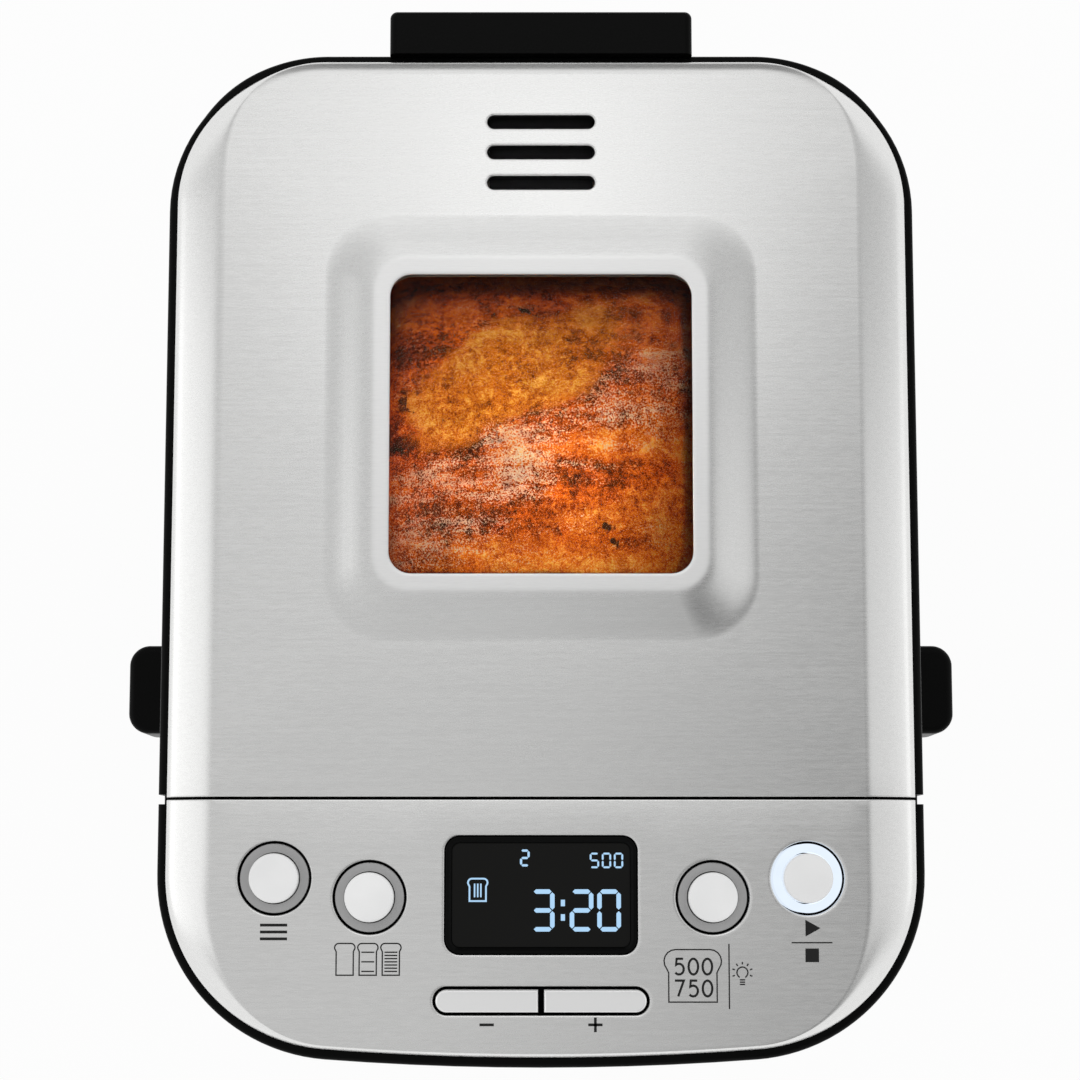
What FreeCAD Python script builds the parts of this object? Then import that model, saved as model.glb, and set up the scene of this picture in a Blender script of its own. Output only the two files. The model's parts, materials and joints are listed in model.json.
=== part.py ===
import FreeCAD, Part
import math
import os

# Compact bread machine, in millimetres: +Z up, front faces -Y, origin under the middle of its box

# Rim outline, seen from above
rim_width = 207.5
rim_depth = 279.1
rim_front_radius = 49.5
rim_back_radius = 44.0
rim_bow_radius = 780.0
rim_edge_radius = 1.6
deck_edge_radius = 0.8

# Heights of the stacked casing
foot_height = 4.0
tray_height = 22.0
sleeve_height = 236.0
deck_height = 10.0
lid_gap = 0.3
rim_height = 12.0
skin_wall_height = 6.0
shoulder_rise = 5.2
window_frame_rise = 3.0

# Clearances
fit_gap = 0.3
running_gap = 0.05
press_gap = 0.03
shortest_edge = 0.000001

# Base tray, feet and sleeve
tray_wall = 2.5
tray_floor = 2.5
tray_edge_radius = 3.0
rib_height = 4.0
rib_thickness = 2.0
sleeve_inset = 2.0
sleeve_sheet = 0.8
foot_radius = 9.0
foot_base_radius = 8.0
foot_stem_radius = 3.0
foot_edge_distance = 27.0
foot_front_distance = 40.0
foot_back_distance = 36.0
tray_slot_count = 6
tray_slot_length = 44.0
tray_slot_width = 3.5
tray_slot_pitch = 9.0

# Steel skins of lid and control panel
skin_inset = 3.1
skin_sheet = 1.0
slit_width = 0.7
rim_notch = 2.6
lid_depth = 207.6
shoulder_side = 12.0
shoulder_back = 1.2
shoulder_front = 1.2
crease_front_radius = 34.0
crease_back_radius = 28.0

# Window in the lid
window_from_back = 106.6
window_size = 82.0
window_radius = 6.0
window_frame_width = 90.6
window_frame_depth = 91.4
window_frame_radius = 9.5
window_slope_size = 117.0
window_slope_radius = 17.0
glass_thickness = 3.0
glass_lap = 4.0
inner_glass_lap = 1.2
spacer_width = 1.2
seal_gap = 1.5
seal_width = 4.0
seal_height = 2.5

# Vent slots in the lid
vent_slot_count = 3
vent_slot_length = 29.6
vent_slot_width = 3.8
vent_slot_pitch = 8.6
vent_from_back = 30.5
vent_margin = 4.0
vent_wall = 2.0
vent_baffle = 1.2
vent_baffle_lift = 2.5
vent_baffle_inset = 0.5

# Hinge
hinge_overhang = 12.5
hinge_width = 84.6
hinge_block_rise = 4.0
hinge_block_radius = 2.0
hinge_drop = 14.0
hinge_pin_radius = 2.0
knuckle_radius = 5.6
knuckle_width = 56.0
cheek_width = 8.0
cheek_gap = 1.0
bracket_plate = 2.0
bracket_plate_height = 22.0

# Side grips
grip_length = 26.1
grip_reach = 20.4
grip_height = 22.0
grip_drop = 50.0
grip_radius = 6.0
grip_edge_radius = 2.0
grip_wall = 3.5
grip_roof = 8.0
grip_from_slit = 34.4

# Control panel
panel_wall = 3.0
panel_plate = 2.3
button_hole_radius = 9.8
light_ring_radius = 9.15
button_radius = 6.55
button_proud = 3.0
button_edge_radius = 0.7
ring_edge_radius = 0.3
button_head = 11.5
button_stem_radius = 4.0
button_travel = 1.2
button_lip_radius = 5.0
button_lip = 0.8
ring_recess = 0.2
outer_button_x = 70.8
outer_button_from_slit = 21.2
inner_button_x = 45.5
inner_button_from_slit = 26.2
display_width = 50.6
display_depth = 30.7
display_radius = 3.8
display_from_slit = 25.6
bezel_wall = 1.7
bezel_ledge = 1.5
bezel_proud = 0.3
bezel_bevel = 0.9
bezel_edge_radius = 0.25
lens_recess = 0.7
lens_thickness = 1.5
ledge_thickness = 1.2
key_slot_width = 57.3
key_slot_depth = 7.5
key_from_slit = 53.3
key_gap = 1.6
key_side_gap = 0.8
key_proud = 1.2
key_edge_radius = 0.6
key_head = 6.0
key_stem = 4.0

# Boards behind the panel
board_thickness = 1.6
board_edge_distance = 21.75
board_depth = 52.0
board_radius = 20.0
board_from_slit = 7.6
board_lift = 1.0
board_boss_radius = 3.0
switch_size = 6.0
switch_height = 4.0
plunger_radius = 1.75
display_module_margin = 0.4
power_board_width = 66.0
power_board_depth = 50.0
power_board_x = -45.0
power_board_from_slit = 27.6
power_board_lift = 8.0
transformer_height = 22.0
capacitor_height = 26.0
relay_height = 14.0

# Oven chamber
chamber_side_room = 20.75
chamber_radius = 28.0
chamber_sheet = 1.0
chamber_flange = 8.0
chassis_lift = 46.0
chassis_sheet = 2.0
chassis_inset = 6.0
chamber_boss_height = 6.0
chamber_boss_radius = 7.0
chamber_boss_spacing = 120.0
post_radius = 6.0
post_edge_distance = 21.75
post_front_distance = 62.0
post_back_distance = 62.0
screw_radius = 1.6
screw_head_radius = 4.0
screw_head = 3.0
shield_gap = 6.0
shield_sheet = 1.0
shield_side_gap = 3.0
shield_height = 190.0
shield_foot = 8.0

# Heater, probe and lamp
heater_radius = 3.2
heater_wall_gap = 11.0
heater_bend = 24.0
heater_tail_bend = 8.0
heater_tail_x = 12.0
heater_tail_out = 4.0
heater_lift = 13.0
clip_size = 8.0
clip_above = 4.0
probe_radius = 2.5
probe_reach = 8.0
probe_tail = 11.0
probe_collar_radius = 6.0
probe_collar = 2.0
probe_height = 62.0
lamp_radius = 11.0
lamp_lens_radius = 9.0
lamp_reach = 2.5
lamp_depth = 12.0
lamp_drop = 40.0

# Drive
shaft_radius = 4.0
bush_radius = 9.0
bush_flange_radius = 15.0
bush_flange = 3.0
bush_below = 6.0
bush_above = 4.0
drive_pulley_radius = 45.0
motor_pulley_radius = 10.0
pulley_hub_radius = 10.0
pulley_web = 4.0
pulley_rim = 5.0
belt_width = 8.0
belt_thickness = 2.0
belt_side_gap = 0.4
pulley_flange = 1.5
pulley_flange_rise = 3.0
pulley_gap = 2.0
shaft_tail = 3.0
motor_x = 40.0
motor_from_slit = 26.6
motor_radius = 30.0
motor_height = 70.0
motor_stand = 6.0
motor_bell_step = 4.0
motor_leg_radius = 4.0
motor_leg_circle = 24.0
coupling_radius = 16.0
coupling_disc = 5.0
coupling_gap = 2.0
dog_height = 8.0
dog_width = 6.0
dog_inner_radius = 6.0
dog_gap = 0.6

# Pan, bail and paddle
pan_wall_gap = 15.0
pan_draft = 5.0
pan_radius = 26.0
pan_wall = 1.2
pan_floor = 1.5
pan_height = 112.0
pan_bead = 2.0
pan_stand = 27.0
pan_ring_radius = 42.0
pan_ring_wall = 3.0
seat_wall = 8.0
seat_height = 9.0
seat_floor = 3.0
seat_lap = 6.0
pan_bush_radius = 9.0
pan_bush_flange_radius = 14.0
pan_bush_flange = 2.0
pan_bush_below = 2.0
ear_sheet = 2.0
ear_width = 20.0
ear_height = 14.0
bail_radius = 2.5
bail_wall_gap = 9.0
bail_corner = 20.0
bail_bend = 4.0
bail_side_gap = 2.2
bail_pivot_drop = 6.0
paddle_hub_radius = 9.0
paddle_hub_height = 15.5
paddle_floor_gap = 1.0
paddle_length = 50.0
paddle_height = 26.0
paddle_thickness = 4.0
paddle_tip_height = 12.0

# Loaf in the pan
loaf_gap = 0.5
loaf_paddle_gap = 3.5
loaf_foot_inset = 4.0
loaf_foot_rise = 10.0
loaf_wall_drop = 2.0
loaf_crown = 48.0
loaf_crown_inner_power = 2.2
loaf_crown_outer_power = 0.55
loaf_radius = 30.0
loaf_steps = (0.0, 0.06, 0.14, 0.26, 0.42, 0.6, 0.8)

# Mains inlet
gland_x = 60.0
gland_height = 11.0
gland_half = 6.5
gland_flange_half = 8.5
gland_flange = 3.0
gland_tail = 9.0
gland_bore_radius = 3.6

# Places worked out from the sizes above
rim_half = rim_width / 2
rim_front = -(rim_depth + hinge_overhang) / 2
rim_back = rim_front + rim_depth
slit_y = rim_back - lid_depth
window_y = rim_back - window_from_back
chamber_y = window_y
vent_y = rim_back - vent_from_back
hinge_y = rim_back + hinge_overhang / 2

tray_z = foot_height
sleeve_z = tray_z + tray_height
deck_z = sleeve_z + sleeve_height
deck_top = deck_z + deck_height
lid_z = deck_top + lid_gap
rim_top = lid_z + rim_height
shoulder_z = rim_top + skin_wall_height
skin_top = shoulder_z + shoulder_rise
window_top = skin_top + window_frame_rise
skin_under = skin_top - skin_sheet
hinge_z = deck_top - hinge_drop

floor_z = tray_z + tray_floor
chassis_z = tray_z + chassis_lift
chassis_top = chassis_z + chassis_sheet
chamber_z = chassis_top + chamber_boss_height
chamber_floor = chamber_z + chamber_sheet
pan_z = chamber_floor + pan_stand
pan_inside = pan_z + pan_floor
pan_top = pan_z + pan_height
bail_z = pan_top - bail_pivot_drop
chamber_size = rim_width - 2 * chamber_side_room
chamber_outer = chamber_size + 2 * chamber_sheet
chamber_front = chamber_y - chamber_outer / 2
heater_size = chamber_size - 2 * heater_wall_gap
shield_width = chamber_size - 2 * shield_side_gap
pan_top_size = chamber_size - 2 * pan_wall_gap
pan_bottom_size = pan_top_size - 2 * pan_draft
bail_reach = chamber_size / 2 - bail_wall_gap
post_x = rim_half - post_edge_distance
board_width = rim_width - 2 * board_edge_distance

os.makedirs("parts", exist_ok=True)


def vec(x, y, z):
    return FreeCAD.Vector(x, y, z)


# Basic solids

def block(x0, x1, y0, y1, z0, z1):
    return Part.makeBox(x1 - x0, y1 - y0, z1 - z0, vec(x0, y0, z0))


def upright(x, y, radius, z0, z1):
    return Part.makeCylinder(radius, z1 - z0, vec(x, y, z0))


def rod(start, radius, length, axis):
    return Part.makeCylinder(radius, length, start, axis)


def ring(x, y, inner, outer, z0, z1):
    return upright(x, y, outer, z0, z1).cut(upright(x, y, inner, z0, z1))


def fuse(shapes):
    joined = shapes[0].fuse(shapes[1:])
    return joined.removeSplitter()


def group(shapes):
    return Part.makeCompound(shapes)


def mirrored(shape):
    return shape.mirror(vec(0, 0, 0), vec(1, 0, 0))


def prism(wire, height):
    return Part.Face(wire).extrude(vec(0, 0, height))


def polygon_plate(points, direction):
    return Part.Face(Part.makePolygon(points + points[:1])).extrude(direction)


# Closed wires

def arc_about(centre, radius, start, end):
    middle = (start + end) / 2
    spots = []
    for angle in (start, middle, end):
        spots.append(vec(centre.x + radius * math.cos(angle), centre.y + radius * math.sin(angle), centre.z))
    return Part.Arc(*spots).toShape()


def line(start, end):
    return Part.LineSegment(start, end).toShape()


def rounded_wire(x, y, width, depth, radius, z):
    # Rectangle with round corners, anticlockwise from its right side
    edges = []
    turn = math.pi / 2
    half_x = width / 2 - radius
    half_y = depth / 2 - radius
    for index, (side_x, side_y) in enumerate([(1, 1), (-1, 1), (-1, -1), (1, -1)]):
        centre = vec(x + side_x * half_x, y + side_y * half_y, z)
        edges.append(arc_about(centre, radius, index * turn, (index + 1) * turn))
    closed = []
    for index, corner in enumerate(edges):
        closed.append(corner)
        start = corner.Vertexes[-1].Point
        end = edges[(index + 1) % len(edges)].Vertexes[0].Point
        if start.distanceToPoint(end) > shortest_edge:
            closed.append(line(start, end))
    return Part.Wire(closed)


def rounded_block(x, y, width, depth, radius, z0, z1):
    return prism(rounded_wire(x, y, width, depth, radius, z0), z1 - z0)


def rounded_frame(x, y, inner, outer, inner_radius, outer_radius, z0, z1):
    hole = rounded_block(x, y, inner, inner, inner_radius, z0, z1)
    return rounded_block(x, y, outer, outer, outer_radius, z0, z1).cut(hole)


def outline_wire(side, front, back, front_radius, back_radius, z):
    # Rim outline set in by side, front and back: a bowed front edge between round corners
    half = rim_half - side
    front_y = rim_front + front
    back_y = rim_back - back
    bow = rim_bow_radius - front
    bow_y = front_y + bow
    corner_x = half - front_radius
    corner_y = bow_y - math.sqrt((bow - front_radius) ** 2 - corner_x ** 2)
    lean = math.atan2(corner_x, bow_y - corner_y)
    back_x = half - back_radius
    back_corner_y = back_y - back_radius
    turn = math.pi / 2
    return Part.Wire([
        line(vec(half, corner_y, z), vec(half, back_corner_y, z)),
        arc_about(vec(back_x, back_corner_y, z), back_radius, 0, turn),
        line(vec(back_x, back_y, z), vec(-back_x, back_y, z)),
        arc_about(vec(-back_x, back_corner_y, z), back_radius, turn, 2 * turn),
        line(vec(-half, back_corner_y, z), vec(-half, corner_y, z)),
        arc_about(vec(-corner_x, corner_y, z), front_radius, 2 * turn, 3 * turn - lean),
        arc_about(vec(0, bow_y, z), bow, -turn - lean, -turn + lean),
        arc_about(vec(corner_x, corner_y, z), front_radius, -turn + lean, 0),
    ])


def inset_wire(inset, z):
    return outline_wire(inset, inset, inset, rim_front_radius - inset, rim_back_radius - inset, z)


def casing_prism(inset, z0, z1):
    return prism(inset_wire(inset, z0), z1 - z0)


def level_edges(shape, z):
    # Edges that lie in the plane at height z
    found = []
    for edge in shape.Edges:
        box = edge.BoundBox
        if abs(box.ZMin - z) < fit_gap / 10 and abs(box.ZMax - z) < fit_gap / 10:
            found.append(edge)
    return found


def soft_top(shape, radius):
    return shape.makeFillet(radius, level_edges(shape, shape.BoundBox.ZMax))


def soft_bottom(shape, radius):
    return shape.makeFillet(radius, level_edges(shape, shape.BoundBox.ZMin))


def casing_ring(inset, wall, z0, z1):
    return casing_prism(inset, z0, z1).cut(casing_prism(inset + wall, z0, z1))


def loft(lower, upper):
    return Part.makeLoft([lower, upper], True, True)


def swept_tube(points, bends, radius):
    # Round bar along straight runs, joined by an arc at each inner point
    edges = []
    start = points[0]
    for index, bend in enumerate(bends):
        corner = points[index + 1]
        before = (points[index] - corner).normalize()
        after = (points[index + 2] - corner).normalize()
        half_turn = before.getAngle(after) / 2
        reach = bend / math.tan(half_turn)
        inward = (before + after).normalize()
        entry = corner + before * reach
        leave = corner + after * reach
        middle = corner + inward * (bend / math.sin(half_turn) - bend)
        edges.append(line(start, entry))
        edges.append(Part.Arc(entry, middle, leave).toShape())
        start = leave
    edges.append(line(start, points[-1]))
    path = Part.Wire(edges)
    section = Part.Wire(Part.Circle(points[0], points[1] - points[0], radius).toShape())
    return path.makePipeShell([section], True, False)


def save(name, shape):
    shape.exportStep("parts/" + name + ".step")


def in_lid(shape, gap):
    # Keeps what lies behind the slit
    reach = rim_depth
    return shape.common(block(-reach, reach, slit_y + gap / 2, rim_back + reach, -reach, 2 * reach))


def in_panel(shape, gap):
    # Keeps what lies in front of the slit
    reach = rim_depth
    return shape.common(block(-reach, reach, rim_front - reach, slit_y - gap / 2, -reach, 2 * reach))


# Base: feet, tray, mains gland, screws

foot_spots = []
for side in (-1, 1):
    foot_spots.append((side * (rim_half - foot_edge_distance), rim_front + foot_front_distance))
    foot_spots.append((side * (rim_half - foot_edge_distance), rim_back - foot_back_distance))

post_spots = []
for side in (-1, 1):
    post_spots.append((side * post_x, rim_front + post_front_distance))
    post_spots.append((side * post_x, rim_back - post_back_distance))

gland_z = tray_z + gland_height
tray_back = rim_back - sleeve_inset
motor_y = slit_y - motor_from_slit
head_recess = screw_head + 2 * fit_gap


def gland_block(half, y0, y1, top):
    # Upright slab round the mains cord, from half below the cord up to top
    return block(gland_x - half, gland_x + half, y0, y1, gland_z - half, top)


def make_feet():
    feet = []
    for x, y in foot_spots:
        pad = Part.makeCone(foot_base_radius, foot_radius, foot_height, vec(x, y, 0))
        stem = upright(x, y, foot_stem_radius, foot_height, floor_z)
        feet.append(fuse([pad, stem]))
    return group(feet)


def make_base_tray():
    shell = soft_bottom(casing_prism(sleeve_inset, tray_z, sleeve_z), tray_edge_radius)
    shell = shell.cut(casing_prism(sleeve_inset + tray_wall, floor_z, sleeve_z))
    rib = casing_ring(sleeve_inset + sleeve_sheet + fit_gap, rib_thickness, floor_z, sleeve_z + rib_height)
    posts = [upright(x, y, post_radius, floor_z, chassis_z) for x, y in post_spots]
    tray = fuse([shell, rib] + posts)
    cuts = []
    for x, y in foot_spots:
        cuts.append(upright(x, y, foot_stem_radius + press_gap, tray_z, floor_z))
    for x, y in post_spots:
        cuts.append(upright(x, y, screw_radius + fit_gap, tray_z, chassis_z))
        cuts.append(upright(x, y, screw_head_radius + fit_gap, tray_z, tray_z + head_recess))
    middle = (tray_slot_count - 1) / 2
    for index in range(tray_slot_count):
        x = (index - middle) * tray_slot_pitch
        cuts.append(rounded_block(x, chamber_y, tray_slot_width, tray_slot_length, tray_slot_width / 2,
                                  tray_z, floor_z))
    cuts.append(gland_block(gland_half + press_gap, tray_back - gland_tail, tray_back + gland_flange,
                            sleeve_z + rib_height))
    return tray.cut(fuse(cuts[:1]).fuse(cuts[1:]))


def make_cord_gland():
    tail = tray_wall + rib_thickness + gland_tail
    top = sleeve_z - fit_gap
    plug = gland_block(gland_half, tray_back - tail, tray_back, top)
    collar = gland_block(gland_flange_half, tray_back, tray_back + gland_flange, top)
    bore = rod(vec(gland_x, tray_back - tail, gland_z), gland_bore_radius, tail + gland_flange, vec(0, 1, 0))
    return fuse([plug, collar]).cut(bore)


def make_base_screws():
    screws = []
    for x, y in post_spots:
        seat = tray_z + head_recess
        head = upright(x, y, screw_head_radius, seat - screw_head, seat)
        shank = upright(x, y, screw_radius, seat, chassis_top + screw_head)
        screws.append(fuse([head, shank]))
    return group(screws)


save("feet", make_feet())
save("base_tray", make_base_tray())
save("cord_gland", make_cord_gland())
save("base_screws", make_base_screws())


# Casing: sleeve, deck, grips, hinge bracket and pin

grip_y = slit_y + grip_from_slit
grip_top = deck_top - grip_drop
grip_bottom = grip_top - grip_height
grip_root = rim_half - sleeve_inset
grip_screw_z = grip_top - grip_roof / 2
grip_screw_spread = grip_length / 4
grip_screw_depth = grip_reach / 2
flange_size = chamber_outer + 2 * chamber_flange
flange_radius = chamber_radius + chamber_sheet + chamber_flange
bracket_top = deck_z - fit_gap
bracket_half = knuckle_width / 2 + cheek_gap + cheek_width
wiring_depth = board_depth - 2 * board_boss_radius - panel_wall
wiring_y = slit_y - board_from_slit - board_depth / 2


def grip_screw_spots():
    return [grip_y - grip_screw_spread, grip_y + grip_screw_spread]


def make_sleeve():
    sleeve = casing_ring(sleeve_inset, sleeve_sheet, sleeve_z, deck_z)
    holes = []
    for side in (-1, 1):
        for y in grip_screw_spots():
            start = vec(side * (grip_root - 2 * sleeve_sheet), y, grip_screw_z)
            holes.append(rod(start, screw_radius + fit_gap, 3 * sleeve_sheet, vec(side, 0, 0)))
    return sleeve.cut(holes[0].fuse(holes[1:]))


def make_deck():
    plate = soft_bottom(soft_top(casing_prism(0, deck_z, deck_top), deck_edge_radius), deck_edge_radius)
    rib = casing_ring(sleeve_inset + sleeve_sheet + fit_gap, rib_thickness, deck_z - rib_height, deck_z)
    mouth = rounded_block(0, chamber_y, chamber_outer + 2 * fit_gap, chamber_outer + 2 * fit_gap,
                          chamber_radius + chamber_sheet + fit_gap, deck_z, deck_top)
    rebate = rounded_block(0, chamber_y, flange_size + 2 * fit_gap, flange_size + 2 * fit_gap,
                           flange_radius + fit_gap, deck_top - chamber_sheet, deck_top)
    wiring = rounded_block(0, wiring_y, board_width - board_radius, wiring_depth, board_radius,
                           deck_z, deck_top)
    return fuse([plate, rib]).cut(mouth.fuse([rebate, wiring]))


def make_grip():
    # Right-hand grip: a lug with round outer corners and a finger recess from below
    long_half = grip_reach
    lug = rounded_block(grip_root, grip_y, 2 * long_half, grip_length, grip_radius, grip_bottom, grip_top)
    lug = lug.common(block(grip_root, grip_root + long_half, grip_y - grip_length, grip_y + grip_length,
                           grip_bottom, grip_top))
    rounded = []
    for edge in lug.Edges:
        box = edge.BoundBox
        outside = box.XMax > grip_root + grip_edge_radius
        level = box.ZLength < grip_edge_radius
        if outside and level and box.ZMin > grip_top - grip_edge_radius:
            rounded.append(edge)
    lug = lug.makeFillet(grip_edge_radius, rounded)
    pocket = rounded_block(grip_root + long_half / 2, grip_y, long_half - 2 * grip_wall,
                           grip_length - 2 * grip_wall, grip_radius - grip_edge_radius,
                           grip_bottom, grip_top - grip_roof)
    holes = [rod(vec(grip_root, y, grip_screw_z), screw_radius + press_gap, grip_screw_depth, vec(1, 0, 0))
             for y in grip_screw_spots()]
    return lug.cut(pocket.fuse(holes))


def make_grip_screws():
    screws = []
    for side in (-1, 1):
        for y in grip_screw_spots():
            seat = side * (grip_root - sleeve_sheet)
            shank = rod(vec(seat, y, grip_screw_z), screw_radius, grip_screw_depth, vec(side, 0, 0))
            head = rod(vec(seat, y, grip_screw_z), screw_head_radius, screw_head, vec(-side, 0, 0))
            screws.append(fuse([shank, head]))
    return group(screws)


def make_hinge_bracket():
    back = rim_back - sleeve_inset
    plate = block(-bracket_half, bracket_half, back, back + bracket_plate,
                  bracket_top - bracket_plate_height, bracket_top)
    pieces = [plate]
    bores = []
    for side in (-1, 1):
        inner = side * (knuckle_width / 2 + cheek_gap)
        outer = side * bracket_half
        low = min(inner, outer)
        pieces.append(rod(vec(low, hinge_y, hinge_z), knuckle_radius, cheek_width, vec(1, 0, 0)))
        pieces.append(block(low, low + cheek_width, back, hinge_y, hinge_z - knuckle_radius,
                            bracket_top))
        bores.append(rod(vec(low, hinge_y, hinge_z), hinge_pin_radius + press_gap, cheek_width, vec(1, 0, 0)))
    return fuse(pieces).cut(bores[0].fuse(bores[1:]))


def make_hinge_pin():
    return rod(vec(-bracket_half, hinge_y, hinge_z), hinge_pin_radius, 2 * bracket_half, vec(1, 0, 0))


right_grip = make_grip()
save("body_sleeve", make_sleeve())
save("top_deck", make_deck())
save("right_grip", right_grip)
save("left_grip", mirrored(right_grip))
save("grip_screws", make_grip_screws())
save("hinge_bracket", make_hinge_bracket())
save("hinge_pin", make_hinge_pin())


# Lid: frame, skin, liner, seal, glazing, vent, hinge block

liner_sheet = chamber_sheet
liner_plate_z = rim_top - liner_sheet
glass_size = window_size + 2 * glass_lap
glass_radius = window_radius + glass_lap
window_glass_top = window_top - skin_sheet
window_glass_z = window_glass_top - glass_thickness
inner_glass_top = rim_top + glass_thickness
vent_width = vent_slot_length + 2 * vent_margin
vent_baffle_z = rim_top + vent_baffle_lift
vent_depth = (vent_slot_count - 1) * vent_slot_pitch + vent_slot_width + 2 * vent_margin
seal_inner = flange_size + 2 * seal_gap
seal_outer = seal_inner + 2 * seal_width
seal_inner_radius = flange_radius + seal_gap
block_z = hinge_z + knuckle_radius + cheek_gap
block_top = rim_top + hinge_block_rise
hinge_screw_x = hinge_width / 3
hinge_screw_z = (lid_z + rim_top) / 2
opening_back = chamber_y + chamber_outer / 2 + fit_gap
hinge_screw_seat = opening_back + head_recess
hinge_screw_end = rim_back + 2 * hinge_overhang / 3


def skin_form(depth):
    # Cushion of the whole top, set in from the outer face by depth: upright wall, sloped shoulder, flat top
    inset = skin_inset + depth
    level = shoulder_z - depth / 2
    wall = casing_prism(inset, rim_top, level)
    crease = outline_wire(inset + shoulder_side, inset + shoulder_front, inset + shoulder_back,
                          crease_front_radius, crease_back_radius, skin_top - depth)
    return fuse([wall, loft(inset_wire(inset, level), crease)])


def window_rise(depth):
    low = rounded_wire(0, window_y, window_slope_size, window_slope_size, window_slope_radius,
                       skin_top - depth)
    high = rounded_wire(0, window_y, window_frame_width, window_frame_depth, window_frame_radius,
                        window_top - depth)
    return loft(low, high)


def vent_slots(z0, z1):
    slots = []
    middle = (vent_slot_count - 1) / 2
    for index in range(vent_slot_count):
        y = vent_y + (index - middle) * vent_slot_pitch
        slots.append(rounded_block(0, y, vent_slot_length, vent_slot_width, vent_slot_width / 2, z0, z1))
    return slots[0].fuse(slots[1:])


outer_form = skin_form(0)
inner_form = skin_form(skin_sheet)


def make_lid_skin():
    outer = fuse([in_lid(outer_form, slit_width), window_rise(0)])
    inner = fuse([in_lid(inner_form, slit_width + 2 * skin_sheet), window_rise(skin_sheet)])
    opening = rounded_block(0, window_y, window_size, window_size, window_radius, rim_top, window_top)
    return outer.cut(inner).cut(opening.fuse(vent_slots(rim_top, window_top)))


def hinge_screw_spots():
    return [-hinge_screw_x, hinge_screw_x]


def make_lid_frame():
    plate = soft_bottom(soft_top(casing_prism(0, lid_z, rim_top), rim_edge_radius), deck_edge_radius)
    frame = in_lid(plate, rim_notch)
    opening = rounded_block(0, chamber_y, chamber_outer + 2 * fit_gap, chamber_outer + 2 * fit_gap,
                            chamber_radius + chamber_sheet + fit_gap, lid_z, rim_top)
    rebate = rounded_block(0, chamber_y, flange_size + 2 * fit_gap, flange_size + 2 * fit_gap,
                           flange_radius + fit_gap, lid_z, lid_z + liner_sheet)
    groove = rounded_frame(0, chamber_y, seal_inner - 2 * press_gap, seal_outer + 2 * press_gap,
                           seal_inner_radius - press_gap, seal_inner_radius + seal_width + press_gap,
                           lid_z, lid_z + seal_height)
    cuts = [rebate, groove]
    for x in hinge_screw_spots():
        start = vec(x, chamber_y, hinge_screw_z)
        cuts.append(rod(start, screw_head_radius + fit_gap, hinge_screw_seat - chamber_y, vec(0, 1, 0)))
        cuts.append(rod(start, screw_radius + fit_gap, rim_back - chamber_y, vec(0, 1, 0)))
    return frame.cut(opening.fuse(cuts))


def make_lid_liner():
    dish = rounded_block(0, chamber_y, chamber_outer, chamber_outer, chamber_radius + liner_sheet,
                         lid_z, rim_top)
    lip = rounded_block(0, chamber_y, flange_size, flange_size, flange_radius, lid_z, lid_z + liner_sheet)
    hollow = rounded_block(0, chamber_y, chamber_size, chamber_size, chamber_radius, lid_z, liner_plate_z)
    pane_size = glass_size - 2 * inner_glass_lap
    pane = rounded_block(0, window_y, pane_size, pane_size, glass_radius - inner_glass_lap,
                         liner_plate_z, rim_top)
    vent_hole = rounded_block(0, vent_y - vent_slot_pitch / 2, vent_slot_length,
                              vent_slot_pitch + vent_slot_width, vent_slot_width / 2, liner_plate_z, rim_top)
    return fuse([dish, lip]).cut(hollow.fuse([pane, vent_hole]))


def make_lid_seal():
    return rounded_frame(0, chamber_y, seal_inner, seal_outer, seal_inner_radius,
                         seal_inner_radius + seal_width, lid_z, lid_z + seal_height)


def make_pane(z0, z1):
    return rounded_block(0, window_y, glass_size, glass_size, glass_radius, z0, z1)


def make_window_spacer():
    return rounded_frame(0, window_y, glass_size - 2 * spacer_width, glass_size, glass_radius - spacer_width,
                         glass_radius, inner_glass_top, window_glass_z)


def make_vent_insert():
    shell = rounded_block(0, vent_y, vent_width, vent_depth, vent_margin, rim_top, skin_under)
    hollow = rounded_block(0, vent_y, vent_width - 2 * vent_wall, vent_depth - 2 * vent_wall,
                           vent_margin - vent_wall, rim_top, skin_under - vent_wall)
    half = vent_slot_length / 2 - vent_baffle_inset
    reach = vent_depth / 2 - vent_wall / 2
    baffle = block(-half, half, vent_y - reach, vent_y + reach, vent_baffle_z, vent_baffle_z + vent_baffle)
    return fuse([shell.cut(hollow.fuse(vent_slots(vent_baffle_z + vent_baffle, skin_under))), baffle])


def make_hinge_block():
    half = hinge_width / 2
    back = rim_back + hinge_overhang
    lump = block(-half, half, rim_back, back, block_z, block_top)
    rounded = []
    for edge in lump.Edges:
        box = edge.BoundBox
        away = box.YMax > back - hinge_block_radius
        if away and box.ZMax > block_top - hinge_block_radius:
            rounded.append(edge)
    lump = lump.makeFillet(hinge_block_radius, rounded)
    half_knuckle = knuckle_width / 2
    web = block(-half_knuckle, half_knuckle, hinge_y - knuckle_radius + cheek_gap,
                hinge_y + knuckle_radius - cheek_gap, hinge_z, block_z)
    knuckle = rod(vec(-half_knuckle, hinge_y, hinge_z), knuckle_radius, knuckle_width, vec(1, 0, 0))
    relief = block(-half, half, rim_back, rim_back + 2 * fit_gap, block_z, lid_z)
    cuts = [relief]
    for x in hinge_screw_spots():
        cuts.append(rod(vec(x, rim_back, hinge_screw_z), screw_radius + press_gap,
                        hinge_screw_end - rim_back, vec(0, 1, 0)))
    bore = rod(vec(-half_knuckle, hinge_y, hinge_z), hinge_pin_radius + running_gap, knuckle_width,
               vec(1, 0, 0))
    return fuse([lump, web, knuckle]).cut(bore.fuse(cuts))


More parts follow.
